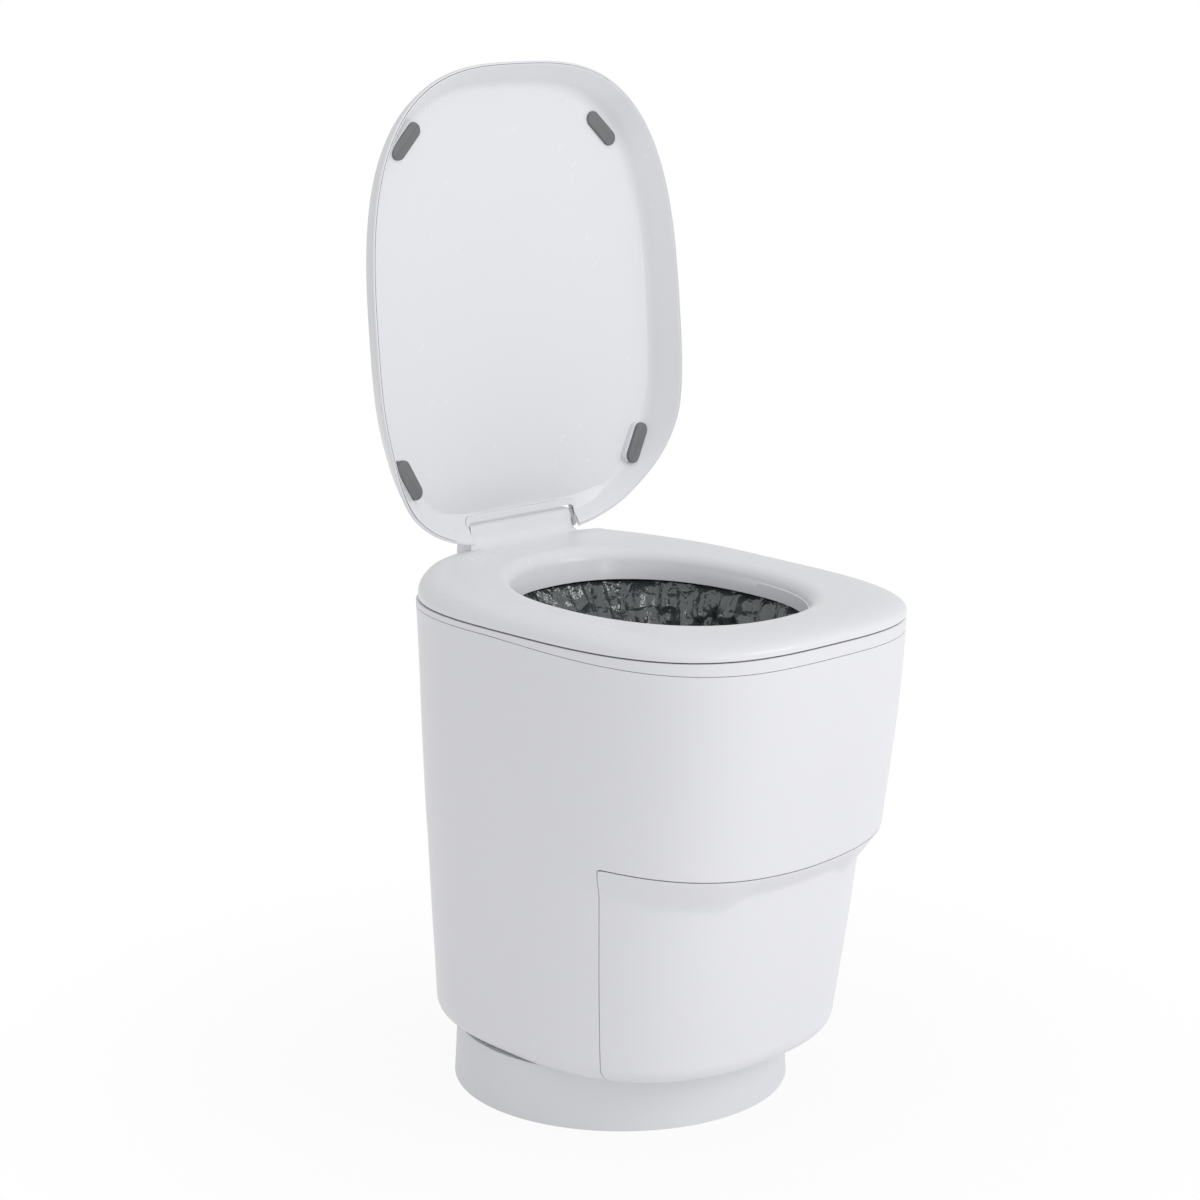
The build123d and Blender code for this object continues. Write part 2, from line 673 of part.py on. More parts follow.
def build_rollers():
    deck_top = DECK_Z + INNER_DECK_THICKNESS
    offset = ROLLER_RADIUS + ROLLER_NIP / 2
    bracket_outer = ROLLER_BRACKET_X + ROLLER_BRACKET_THICKNESS
    pieces = {}
    for name, y in (("drive_roller", BOWL_Y + offset), ("nip_roller", BOWL_Y - offset)):
        axle = rod_along_x(ROLLER_CORE_RADIUS, y, ROLLER_Z, -ROLLER_HALF_LENGTH - 3, ROLLER_HALF_LENGTH + 3)
        axle += rod_along_x(AXLE_RADIUS, y, ROLLER_Z, -bracket_outer + 0.5, bracket_outer - 0.5)
        sleeve = rod_along_x(ROLLER_RADIUS, y, ROLLER_Z, -ROLLER_HALF_LENGTH, ROLLER_HALF_LENGTH)
        sleeve -= rod_along_x(ROLLER_CORE_RADIUS, y, ROLLER_Z, -ROLLER_HALF_LENGTH - 1, ROLLER_HALF_LENGTH + 1)
        pieces[name + "_axle"] = axle
        pieces[name + "_sleeve"] = sleeve
    for name, side in (("roller_bracket_right", 1), ("roller_bracket_left", -1)):
        x0, x1 = sorted((side * ROLLER_BRACKET_X, side * bracket_outer))
        reach = offset + 8
        bracket = block(x0, x1, BOWL_Y - reach, BOWL_Y + reach, deck_top, ROLLER_Z + 8)
        for y in (BOWL_Y + offset, BOWL_Y - offset):
            bracket -= rod_along_x(AXLE_RADIUS + RUNNING_FIT, y, ROLLER_Z, x0 - 1, x1 + 1)
        pieces[name] = bracket
    pieces["roller_motor"] = rod_along_x(
        ROLLER_MOTOR_RADIUS, BOWL_Y + offset, ROLLER_Z, bracket_outer, bracket_outer + ROLLER_MOTOR_LENGTH
    )
    return pieces


def build_electrics():
    deck_top = DECK_Z + INNER_DECK_THICKNESS
    board_low = deck_top + STANDOFF_HEIGHT
    board_top = board_low + BOARD_THICKNESS
    board = Pos(BOARD_X, BOARD_Y, board_low + BOARD_THICKNESS / 2) * Box(
        BOARD_LENGTH, BOARD_WIDTH, BOARD_THICKNESS
    )
    chips = ((-16, 0, 14, 14, 3), (10, 10, 12, 10, 8), (12, -12, 20, 8, 6))
    for dx, dy, length, width, height in chips:
        board += Pos(BOARD_X + dx, BOARD_Y + dy, board_top + height / 2) * Box(length, width, height)
    standoffs = Part()
    for dx in (-BOARD_LENGTH / 2 + 5, BOARD_LENGTH / 2 - 5):
        for dy in (-BOARD_WIDTH / 2 + 5, BOARD_WIDTH / 2 - 5):
            standoffs += post(STANDOFF_RADIUS, BOARD_X + dx, BOARD_Y + dy, deck_top, board_low)
    flange_rear = INLET_FLANGE_Y + INLET_FLANGE_THICKNESS
    bore_mouth = flange_rear - INLET_MOUTH_DEPTH
    bore_end = bore_mouth - INLET_DEPTH
    inlet = rod_along_y(INLET_RADIUS, INLET_X, INLET_Z, bore_end - INLET_END_WALL, flange_rear)
    inlet += rod_along_y(INLET_FLANGE_RADIUS, INLET_X, INLET_Z, INLET_FLANGE_Y, flange_rear)
    inlet -= rod_along_y(INLET_BORE, INLET_X, INLET_Z, bore_end, bore_mouth)
    inlet -= rod_along_y(INLET_MOUTH_RADIUS, INLET_X, INLET_Z, bore_mouth, flange_rear)
    return {"control_board": board, "board_standoffs": standoffs, "power_inlet": inlet}


def panel_window(extra):
    window = block(
        PANEL_OUTER_X - PANEL_THICKNESS - extra,
        PANEL_OUTER_X + 10 * extra,
        PANEL_Y - PANEL_LENGTH / 2 - extra,
        PANEL_Y + PANEL_LENGTH / 2 + extra,
        PANEL_Z - PANEL_HEIGHT / 2 - extra,
        PANEL_Z + PANEL_HEIGHT / 2 + extra,
    )
    return fillet(window.edges().filter_by(Axis.X), PANEL_CORNER + extra)


def build_buttons():
    panel = panel_window(0.0)
    inner_x = PANEL_OUTER_X - PANEL_THICKNESS
    switch_face = PANEL_OUTER_X + BUTTON_PROUD - BUTTON_LENGTH - BUTTON_TRAVEL - PART_GAP
    board_outer = switch_face - SWITCH_HEIGHT
    board = Pos(board_outer - SWITCH_BOARD_THICKNESS / 2, PANEL_Y, PANEL_Z) * Box(
        SWITCH_BOARD_THICKNESS, PANEL_LENGTH - 6, PANEL_HEIGHT - 6
    )
    for dy in (-PANEL_LENGTH / 2 + 5, PANEL_LENGTH / 2 - 5):
        for dz in (-PANEL_HEIGHT / 2 + 5, PANEL_HEIGHT / 2 - 5):
            panel += rod_along_x(2, PANEL_Y + dy, PANEL_Z + dz, board_outer, inner_x)
    pieces = {}
    for name, side in (("small_load_button", -1), ("large_load_button", 1)):
        y = PANEL_Y + side * BUTTON_SPACING / 2
        face = PANEL_OUTER_X + BUTTON_PROUD
        panel -= rod_along_x(BUTTON_RADIUS + RUNNING_FIT, y, PANEL_Z, inner_x - 1, PANEL_OUTER_X + 1)
        button = rod_along_x(BUTTON_RADIUS, y, PANEL_Z, face - BUTTON_LENGTH, face)
        pieces[name] = fillet(button.edges().sort_by(Axis.X)[-1], 1.0)
        board += Pos(board_outer + SWITCH_HEIGHT / 2, y, PANEL_Z) * Box(SWITCH_HEIGHT, SWITCH_SIZE, SWITCH_SIZE)
    pieces["button_panel"] = panel
    pieces["switch_board"] = board
    return pieces


def build_drawer():
    tray = block(
        -TRAY_HALF_WIDTH, TRAY_HALF_WIDTH, TRAY_FRONT_Y, TRAY_REAR_Y, TRAY_BOTTOM, TRAY_BOTTOM + TRAY_HEIGHT
    )
    tray = fillet(tray.edges().filter_by(Axis.Z), TRAY_CORNER)
    room = block(
        -TRAY_HALF_WIDTH + TRAY_WALL,
        TRAY_HALF_WIDTH - TRAY_WALL,
        TRAY_FRONT_Y + TRAY_WALL,
        TRAY_REAR_Y - TRAY_WALL,
        TRAY_BOTTOM + TRAY_WALL,
        TRAY_BOTTOM + TRAY_HEIGHT + 1,
    )
    tray -= fillet(room.edges().filter_by(Axis.Z), TRAY_CORNER - TRAY_WALL)
    screws = Part()
    for x, z in drawer_screw_places():
        tray -= rod_along_y(DECK_SCREW_RADIUS + RUNNING_FIT, x, z, TRAY_FRONT_Y - 1, TRAY_FRONT_Y + TRAY_WALL + 1)
        head_y = TRAY_FRONT_Y + TRAY_WALL
        screws += rod_along_y(DECK_SCREW_RADIUS * 2, x, z, head_y, head_y + 2)
        screws += rod_along_y(DECK_SCREW_RADIUS, x, z, head_y - 12, head_y)
    pieces = {"drawer_tray": tray, "drawer_screws": screws}
    slide_outer = TRAY_HALF_WIDTH + SLIDE_THICKNESS
    runner_inner = slide_outer + SOFT_GAP
    for word, side in (("left", -1), ("right", 1)):
        x0, x1 = sorted((side * TRAY_HALF_WIDTH, side * slide_outer))
        pieces["drawer_slide_" + word] = block(
            x0, x1, TRAY_FRONT_Y + TRAY_CORNER, TRAY_REAR_Y - TRAY_CORNER, SLIDE_Z, SLIDE_Z + SLIDE_HEIGHT
        )
        x0, x1 = sorted((side * runner_inner, side * RIB_INNER_X))
        runner = block(x0, x1, RUNNER_FRONT_Y, RUNNER_REAR_Y, SLIDE_Z - 5, SLIDE_Z + SLIDE_HEIGHT + 5)
        lip_x0, lip_x1 = sorted((side * (TRAY_HALF_WIDTH + 1), side * runner_inner))
        runner += block(lip_x0, lip_x1, RUNNER_FRONT_Y, RUNNER_REAR_Y, SLIDE_Z - 5, SLIDE_Z - SOFT_GAP)
        pieces["runner_" + word] = runner
    return pieces


def seat_solid(inset, low, top):
    return skin(
        casing_outline(low, 0, 0, FRONT_POWER, inset),
        casing_outline(top, 0, 0, FRONT_POWER, inset),
    )


def build_seat():
    top = SEAT_BOTTOM + SEAT_HEIGHT
    ring = seat_solid(0.0, SEAT_BOTTOM, top)
    ring = fillet(ring.edges().sort_by(Axis.Z)[-1], SEAT_OUTER_ROUNDING)
    ring += skin(
        bowl_outline(MOUTH_HALF_WIDTH, MOUTH_HALF_LENGTH, SEAT_BOTTOM - SKIRT_DEPTH),
        bowl_outline(MOUTH_HALF_WIDTH, MOUTH_HALF_LENGTH, SEAT_BOTTOM + 1),
    )
    mouth_width = MOUTH_HALF_WIDTH - SKIRT_WALL
    mouth_length = MOUTH_HALF_LENGTH - SKIRT_WALL
    mouth = skin(
        bowl_outline(mouth_width, mouth_length, SEAT_BOTTOM - SKIRT_DEPTH - 1),
        bowl_outline(mouth_width, mouth_length, top + 1),
    )
    hollow = seat_solid(SEAT_WALL + 4, SEAT_BOTTOM - 1, SEAT_BOTTOM + 9)
    hollow -= skin(
        bowl_outline(MOUTH_HALF_WIDTH + 1, MOUTH_HALF_LENGTH + 1, SEAT_BOTTOM - 2),
        bowl_outline(MOUTH_HALF_WIDTH + 1, MOUTH_HALF_LENGTH + 1, SEAT_BOTTOM + 10),
    )
    hollow -= block(-BLOCK_HALF_WIDTH, BLOCK_HALF_WIDTH, BLOCK_FRONT_Y, 300, SEAT_BOTTOM - 2, top)
    for x, y in bumper_places():
        hollow -= post(BUMPER_RADIUS + 1, x, y, SEAT_BOTTOM - 2, top)
    seat = ring - mouth
    inner_edge = seat.edges().filter_by_position(Axis.Z, top - 0.1, top + 0.1).sort_by(SortBy.LENGTH)[0]
    seat = fillet(inner_edge, SEAT_INNER_ROUNDING)
    seat -= hollow
    seat += hinge_block(top)
    for x0 in (-BLOCK_HALF_WIDTH - 1, BLOCK_HALF_WIDTH - DAMPER_LENGTH - 12):
        seat -= rod_along_x(LID_PIN_RADIUS + RUNNING_FIT, LID_HINGE_Y, LID_HINGE_Z, x0, x0 + DAMPER_LENGTH + 13)
    for side in (-1, 1):
        x0, x1 = sorted((side * damper_inner(), side * (damper_inner() + DAMPER_LENGTH)))
        seat -= rod_along_x(DAMPER_RADIUS + RUNNING_FIT, LID_HINGE_Y, LID_HINGE_Z, x0 - 0.2, x1 + 0.2)
        seat += seat_knuckle(side)
    pieces = {"seat_ring": seat}
    bumpers = Part()
    for x, y in bumper_places():
        bumpers += post(BUMPER_RADIUS, x, y, COLLAR_TOP, SEAT_BOTTOM)
    pieces["seat_bumpers"] = bumpers
    pins = Part()
    for word, side in (("left", -1), ("right", 1)):
        pin_in = damper_inner() + DAMPER_LENGTH + 0.2
        pin_out = BLOCK_HALF_WIDTH + 0.6 + LID_BARREL_LENGTH
        x0, x1 = sorted((side * pin_in, side * pin_out))
        pins += rod_along_x(LID_PIN_RADIUS, LID_HINGE_Y, LID_HINGE_Z, x0, x1)
        x0, x1 = sorted((side * damper_inner(), side * (damper_inner() + DAMPER_LENGTH)))
        pieces["lid_damper_" + word] = rod_along_x(DAMPER_RADIUS, LID_HINGE_Y, LID_HINGE_Z, x0, x1)
    pieces["lid_hinge_pins"] = pins
    return pieces


def bumper_places():
    return [(side * BUMPER_X, BOWL_Y + turn * BUMPER_Y) for side in (-1, 1) for turn in (-1, 1)]


def damper_inner():
    return BLOCK_HALF_WIDTH - DAMPER_LENGTH - 12


def hinge_block(seat_top):
    """Raised block at the rear of the seat, with a hollow curve up from the seat to its top."""
    low = seat_top - 6
    start = (BLOCK_FRONT_Y, seat_top - 0.5)
    waist = (LID_HINGE_Y - 11, LID_HINGE_Z - 11)
    crown = (LID_HINGE_Y - 4.5, BLOCK_TOP - 2)
    profile = [
        Spline(start, waist, crown, tangents=((1, 0.15), (0.15, 1))),
        Line(crown, (LID_HINGE_Y - 1, BLOCK_TOP)),
        Line((LID_HINGE_Y - 1, BLOCK_TOP), (LID_HINGE_Y + 6, BLOCK_TOP - 2)),
        Line((LID_HINGE_Y + 6, BLOCK_TOP - 2), (BLOCK_REAR_Y - 3, seat_top)),
        Line((BLOCK_REAR_Y - 3, seat_top), (BLOCK_REAR_Y - 3, low)),
        Line((BLOCK_REAR_Y - 3, low), (BLOCK_FRONT_Y, low)),
        Line((BLOCK_FRONT_Y, low), start),
    ]
    face = Plane.YZ * make_face(profile)
    return Pos(-BLOCK_HALF_WIDTH, 0, 0) * extrude(face, 2 * BLOCK_HALF_WIDTH, dir=(1, 0, 0))


def seat_knuckle(side):
    start = SEAT_BARREL_INNER_X + SEAT_BARREL_LENGTH + SOFT_GAP
    x0, x1 = sorted((side * start, side * (start + SEAT_BARREL_LENGTH)))
    knuckle = rod_along_x(SEAT_BARREL_RADIUS, SEAT_HINGE_Y, SEAT_HINGE_Z, x0, x1)
    knuckle += block(
        x0, x1, REAR_FLAT_Y - 6, SEAT_HINGE_Y, SEAT_BOTTOM, SEAT_HINGE_Z + SEAT_BARREL_RADIUS
    )
    return knuckle - rod_along_x(SEAT_PIN_RADIUS + RUNNING_FIT, SEAT_HINGE_Y, SEAT_HINGE_Z, x0 - 1, x1 + 1)


def build_seat_hinge():
    brackets, screws, pins = Part(), Part(), Part()
    for side in (-1, 1):
        x0, x1 = sorted((side * SEAT_BARREL_INNER_X, side * (SEAT_BARREL_INNER_X + SEAT_BARREL_LENGTH)))
        leaf_low = SEAT_HINGE_Z - HINGE_LEAF_HEIGHT
        leaf_rear = REAR_FLAT_Y + HINGE_LEAF_THICKNESS
        bracket = rod_along_x(SEAT_BARREL_RADIUS, SEAT_HINGE_Y, SEAT_HINGE_Z, x0, x1)
        bracket += block(x0, x1, REAR_FLAT_Y, leaf_rear, leaf_low, SEAT_HINGE_Z)
        bracket -= rod_along_x(SEAT_PIN_RADIUS + RUNNING_FIT, SEAT_HINGE_Y, SEAT_HINGE_Z, x0 - 1, x1 + 1)
        screw_x, screw_z = (x0 + x1) / 2, leaf_low + 7
        screws += rod_along_y(4, screw_x, screw_z, leaf_rear, leaf_rear + 1.6)
        brackets += bracket
        reach = SEAT_BARREL_INNER_X + 2 * SEAT_BARREL_LENGTH + SOFT_GAP
        p0, p1 = sorted((side * SEAT_BARREL_INNER_X, side * reach))
        pins += rod_along_x(SEAT_PIN_RADIUS, SEAT_HINGE_Y, SEAT_HINGE_Z, p0, p1)
    return {"seat_hinge_brackets": brackets, "seat_hinge_screws": screws, "seat_hinge_pins": pins}


def lid_cap(inset, top, rounding):
    cap = skin(lid_outline(inset, LID_RIM_Z), lid_outline(inset + LID_DRAFT, top))
    return fillet(cap.edges().sort_by(Axis.Z)[-1], rounding)


def below_rise():
    """What is cut away where the rim rises towards the hinge."""
    line = Polyline(
        (RISE_START_Y, LID_RIM_Z - 1),
        (RISE_END_Y, RISE_TO_Z),
        (RISE_REAR_Y, RISE_REAR_Z),
        (RISE_REAR_Y + 120, RISE_REAR_Z),
        (RISE_REAR_Y + 120, LID_RIM_Z - 40),
        (RISE_START_Y, LID_RIM_Z - 40),
        close=True,
    )
    face = Plane.YZ * make_face(line)
    return Pos(-300, 0, 0) * extrude(face, 600, dir=(1, 0, 0))


def notch(extra):
    return block(
        -NOTCH_HALF_WIDTH - extra,
        NOTCH_HALF_WIDTH + extra,
        NOTCH_FRONT_Y - extra,
        NOTCH_FRONT_Y + 120,
        LID_RIM_Z,
        LID_TOP_Z + 30,
    )


def build_lid():
    outside = lid_cap(0.0, LID_TOP_Z, LID_ROUNDING)
    hollow = lid_cap(LID_WALL, LID_TOP_Z - LID_WALL, LID_ROUNDING - LID_WALL)
    hollow += skin(lid_outline(LID_WALL, LID_RIM_Z - 5), lid_outline(LID_WALL, LID_RIM_Z))
    plate_top = PANEL_FACE_Z + PANEL_WALL
    web_room = block(-300, 300, -400, 400, plate_top + SOFT_GAP, LID_TOP_Z)
    web = ((notch(WEB_THICKNESS) - notch(0.0)) & outside) & web_room
    shell = (outside - hollow - below_rise() - notch(0.0)) + web
    for side in (-1, 1):
        x0, x1 = sorted((side * (BLOCK_HALF_WIDTH + 0.6), side * (NOTCH_HALF_WIDTH + 1)))
        shell += rod_along_x(LID_BARREL_RADIUS, LID_HINGE_Y, LID_HINGE_Z, x0, x1)
        reach = BLOCK_HALF_WIDTH + 0.6 + LID_BARREL_LENGTH + 0.3
        x0, x1 = sorted((side * BLOCK_HALF_WIDTH, side * reach))
        shell -= rod_along_x(LID_PIN_RADIUS + RUNNING_FIT, LID_HINGE_Y, LID_HINGE_Z, x0, x1)

    def dish(extra, low, top):
        """Room for the seat inside the lid: nearly upright at the rim, then drawn in to the face."""
        return skin(
            lid_outline(LID_WALL + PANEL_RIM_INSET - extra, low),
            lid_outline(LID_WALL + PANEL_SHOULDER_INSET - extra, PANEL_SHOULDER_Z),
            lid_outline(LID_WALL + PANEL_FACE_INSET - extra, top),
        )

    panel = dish(PANEL_WALL, LID_RIM_Z + 1, plate_top) - dish(0.0, LID_RIM_Z, PANEL_FACE_Z)
    band_low, band_top = LID_RIM_Z + 1, LID_RIM_Z + 4
    drawn_in = LID_DRAFT * (band_top - LID_RIM_Z) / (LID_TOP_Z - LID_WALL - LID_RIM_Z)
    rim_band = skin(
        lid_outline(LID_WALL + SOFT_GAP + drawn_in, band_low), lid_outline(LID_WALL + SOFT_GAP + drawn_in, band_top)
    )
    band_inner = LID_WALL + PANEL_RIM_INSET - PANEL_WALL / 2
    rim_band -= skin(lid_outline(band_inner, band_low - 1), lid_outline(band_inner, band_top + 1))
    panel = (panel + rim_band) - below_rise() - notch(0.0)
    pieces = {"lid_shell": shell, "lid_inner_panel": panel}
    pad_low = SEAT_BOTTOM + SEAT_HEIGHT + SOFT_GAP
    for word, (x, y, angle) in (("front", FRONT_PAD), ("rear", REAR_PAD)):
        for hand, side in (("left", -1), ("right", 1)):
            turn = angle if word == "front" else -angle
            face = Pos(side * x, y, pad_low) * Rot(0, 0, side * turn) * SlotOverall(PAD_LENGTH, PAD_WIDTH)
            pieces["lid_pad_" + word + "_" + hand] = extrude(face, PANEL_FACE_Z - pad_low)
    hinge = Axis((0, LID_HINGE_Y, LID_HINGE_Z), (1, 0, 0))
    return {name: solid.rotate(hinge, -LID_OPEN_ANGLE) for name, solid in pieces.items()}


def build_all():
    shell = casing_shell()
    pieces = {}
    pieces.update(build_base())
    pieces["body_shell"] = build_body_shell(shell)
    pieces["drawer_front"] = build_drawer_front(shell, casing_solid())
    pieces["rim_collar"] = build_rim_collar()
    for build in (
        build_deck,
        build_film_path,
        build_sealing_unit,
        build_rollers,
        build_electrics,
        build_buttons,
        build_drawer,
        build_seat_hinge,
        build_seat,
        build_lid,
    ):
        pieces.update(build())
    return pieces


os.makedirs("parts", exist_ok=True)
for node, piece in build_all().items():
    export_step(piece, "parts/" + node + ".step")
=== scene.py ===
import math

import bmesh
import bpy
import numpy as np
from mathutils import Matrix, Vector, noise


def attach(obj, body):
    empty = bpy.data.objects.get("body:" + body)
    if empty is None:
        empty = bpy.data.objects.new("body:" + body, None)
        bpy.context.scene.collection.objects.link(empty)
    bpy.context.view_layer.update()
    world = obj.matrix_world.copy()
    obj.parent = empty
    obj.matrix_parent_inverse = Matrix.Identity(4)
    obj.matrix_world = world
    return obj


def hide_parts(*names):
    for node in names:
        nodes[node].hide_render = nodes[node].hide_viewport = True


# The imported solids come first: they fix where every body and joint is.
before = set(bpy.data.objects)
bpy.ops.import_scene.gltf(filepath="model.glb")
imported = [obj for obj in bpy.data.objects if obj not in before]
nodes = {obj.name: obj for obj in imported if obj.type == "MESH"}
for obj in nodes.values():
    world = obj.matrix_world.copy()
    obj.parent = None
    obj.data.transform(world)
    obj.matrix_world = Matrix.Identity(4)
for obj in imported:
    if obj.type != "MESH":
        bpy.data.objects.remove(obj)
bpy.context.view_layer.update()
bpy.ops.object.select_all(action="DESELECT")

# The casing is one tapered moulding of white plastic, an egg in plan with its blunt end to the rear.
# Its front swells out over the drawer and steps in below a soft edge, which runs out along the sides.
# Its skin is drawn down loop by loop from a ring, each loop set on the outline of its height.
MID_Y = -0.0355
LOOP_POINTS = 240
TURNS = np.linspace(0, 2 * math.pi, LOOP_POINTS, endpoint=False)
CASING_HALF, CASING_FRONT, CASING_REAR = 0.182, 0.232, 0.201
UPPER_POWER, REAR_POWER = 3.15, 3.05
UPPER_Z = [0.240, 0.280, 0.320, 0.360, 0.400, 0.440, 0.468]
UPPER_SIDE = [0.0066, 0.0053, 0.0041, 0.0030, 0.0022, 0.0010, 0.0]
UPPER_FRONT = [0.0282, 0.0220, 0.0156, 0.0095, 0.0044, 0.0010, 0.0]
LOWER_Z = [0.080, 0.120, 0.160, 0.200, 0.240, 0.290]
LOWER_SIDE = [0.0131, 0.0116, 0.0099, 0.0084, 0.0070, 0.0052]
LOWER_FRONT = [0.0640, 0.0583, 0.0530, 0.0487, 0.0445, 0.0400]
LOWER_POWER = [2.40, 2.48, 2.56, 2.64, 2.72, 2.85]
EDGE_MIDDLE_Z, EDGE_RISE, EDGE_REACH = 0.2575, 0.012, 0.155
EDGE_SOFT = 0.004
GRIP_X = [0, 0.030, 0.050, 0.058, 0.066, 0.074, 0.080, 0.089, 0.112, 0.131, 0.147, 0.160, 0.170, 0.182]
GRIP_Z = [
    0.2385, 0.2392, 0.2400, 0.2390, 0.2355, 0.2315, 0.2303, 0.2315, 0.2348, 0.2378, 0.2425, 0.2480, 0.253, 0.260
]
FOOT_Z, FOOT_IN, FOOT_DROP = 0.080, 0.019, 0.021
COLLAR_TOP = 0.468
COLLAR_DEPTH, COLLAR_FALL = 0.0056, 0.0065
WALL, WALL_SLOPE = 0.003, 1.15
FLOOR_ZONE = 0.09


def egg(half_width, front, rear, front_power, rear_power, mid_y=MID_Y):
    """Plan outline of the casing kind: its own length and squareness in front and behind."""
    c, s = np.cos(TURNS), np.sin(TURNS)
    power = np.where(s > 0, rear_power, front_power)
    length = np.where(s > 0, rear, front)
    reach = (np.abs(c) ** power + np.abs(s) ** power) ** (-1 / power)
    return c * reach * half_width, mid_y + s * reach * length


def eased(at, stops, values):
    """Smooth curve through the measured values, with no overshoot between them."""
    stops, values = np.array(stops, float), np.array(values, float)
    steps = np.diff(values) / np.diff(stops)
    slopes = np.concatenate([steps[:1], (steps[1:] + steps[:-1]) / 2, steps[-1:]])
    slopes[1:-1] = np.where(steps[1:] * steps[:-1] <= 0, 0, slopes[1:-1])
    at = np.clip(at, stops[0], stops[-1])
    k = np.clip(np.searchsorted(stops, at, side="right") - 1, 0, len(stops) - 2)
    span = stops[k + 1] - stops[k]
    t = (at - stops[k]) / span
    blend = (values[k] * (1 + 2 * t) + slopes[k] * span * t) * (1 - t) ** 2
    return blend + (values[k + 1] * (3 - 2 * t) - slopes[k + 1] * span * (1 - t)) * t**2


def upper_wall(z):
    """Loop of the wall over the soft edge, at one height or at a height for each of its points."""
    side, front = eased(z, UPPER_Z, UPPER_SIDE), eased(z, UPPER_Z, UPPER_FRONT)
    x, y = egg(CASING_HALF - side, CASING_FRONT - front, CASING_REAR - side, UPPER_POWER, REAR_POWER)
    return np.stack([x, y, z + 0 * x], 1)


def lower_wall(z, drawn_in=0.0):
    """Loop of the wall below the soft edge, which can be drawn in to round the foot."""
    side, front = eased(z, LOWER_Z, LOWER_SIDE) + drawn_in, eased(z, LOWER_Z, LOWER_FRONT) + drawn_in
    power = eased(z, LOWER_Z, LOWER_POWER)
    x, y = egg(CASING_HALF - side, CASING_FRONT - front, CASING_REAR - side, power, REAR_POWER)
    return np.stack([x, y, z + 0 * x], 1)


def edge_height(x):
    """The soft edge over the drawer hangs lowest at the middle of the front."""
    return EDGE_MIDDLE_Z + EDGE_RISE * (np.abs(x) / EDGE_REACH) ** 1.5


def bend(a, corner, b, steps):
    """Points of a rounded corner between a and b."""
    return [a * (1 - t) ** 2 + corner * 2 * t * (1 - t) + b * t**2 for t in np.linspace(0, 1, steps)]


def collar_line():
    """The joint under the rim collar, which is lower towards the front."""
    y = upper_wall(0.460)[:, 1]
    return COLLAR_TOP - COLLAR_DEPTH - COLLAR_FALL * np.clip((-y - 0.02) / 0.24, 0, 1)


outer_edge_z = edge_height(upper_wall(0.262)[:, 0])
grip_z = eased(np.abs(lower_wall(0.238)[:, 0]), GRIP_X, GRIP_Z)


def casing_loops():
    """The skin from the collar down: upper wall, soft edge, step in to the grip, lower wall, round foot."""
    line = collar_line()
    loops = [upper_wall(line + (outer_edge_z + EDGE_SOFT - line) * t) for t in np.linspace(0, 1, 30)]
    edge, foot = upper_wall(outer_edge_z), lower_wall(grip_z)
    loops += bend(loops.pop(), edge, edge + (foot - edge) * 0.16, 6)
    loops += [edge + (foot - edge) * t for t in (0.35, 0.6)]
    loops += bend(edge + (foot - edge) * 0.82, foot, lower_wall(grip_z - EDGE_SOFT), 5)
    lower_height = FOOT_Z + EDGE_SOFT - grip_z
    loops += [lower_wall(grip_z - EDGE_SOFT + lower_height * t) for t in np.linspace(0.04, 1, 24)]
    for turn in np.radians(np.linspace(0, 90, 12)[1:]):
        drop = [0, 0, FOOT_DROP * math.sin(turn)]
        loops.append(lower_wall(FOOT_Z, FOOT_IN * (1 - math.cos(turn))) - drop)
    return loops


def draw_loops(name, loops):
    """A ring is laid down and extruded once for each further loop, which is then set on its outline."""
    bpy.ops.mesh.primitive_circle_add(vertices=len(loops[0]), radius=0.1)
    piece = bpy.context.object
    piece.name = piece.data.name = name
    bpy.ops.object.mode_set(mode="EDIT")
    bm = bmesh.from_edit_mesh(piece.data)
    for vert, point in zip(list(bm.verts), loops[0]):
        vert.co = point
    for loop in loops[1:]:
        bpy.ops.mesh.extrude_edges_move()
        bm = bmesh.from_edit_mesh(piece.data)
        bm.verts.ensure_lookup_table()
        for vert, point in zip(bm.verts[-len(loop):], loop):
            vert.co = point
        bmesh.update_edit_mesh(piece.data)
    bpy.ops.object.mode_set(mode="OBJECT")
    return piece


def close_ends(piece):
    """The open ends are filled, and the faces are turned outwards."""
    bpy.ops.object.mode_set(mode="EDIT")
    bpy.ops.mesh.select_all(action="DESELECT")
    bpy.ops.mesh.select_mode(type="EDGE")
    bpy.ops.mesh.select_non_manifold()
    bpy.ops.mesh.edge_face_add()
    bpy.ops.mesh.select_mode(type="VERT")
    bpy.ops.mesh.select_all(action="SELECT")
    bpy.ops.mesh.normals_make_consistent(inside=False)
    bpy.ops.object.mode_set(mode="OBJECT")


def carve(piece, tool, operation="DIFFERENCE"):
    """A cut with a tool body, which is left in place for the next cut."""
    cut = piece.modifiers.new("cut", "BOOLEAN")
    cut.object, cut.operation, cut.solver = tool, operation, "EXACT"
    bpy.context.view_layer.objects.active = piece
    bpy.ops.object.modifier_apply(modifier=cut.name)


def scrap(tool):
    bpy.data.objects.remove(tool)


def copy_of(piece, name):
    twin = piece.copy()
    twin.data = piece.data.copy()
    twin.name = twin.data.name = name
    bpy.context.scene.collection.objects.link(twin)
    return twin


casing = draw_loops("casing", casing_loops())
close_ends(casing)

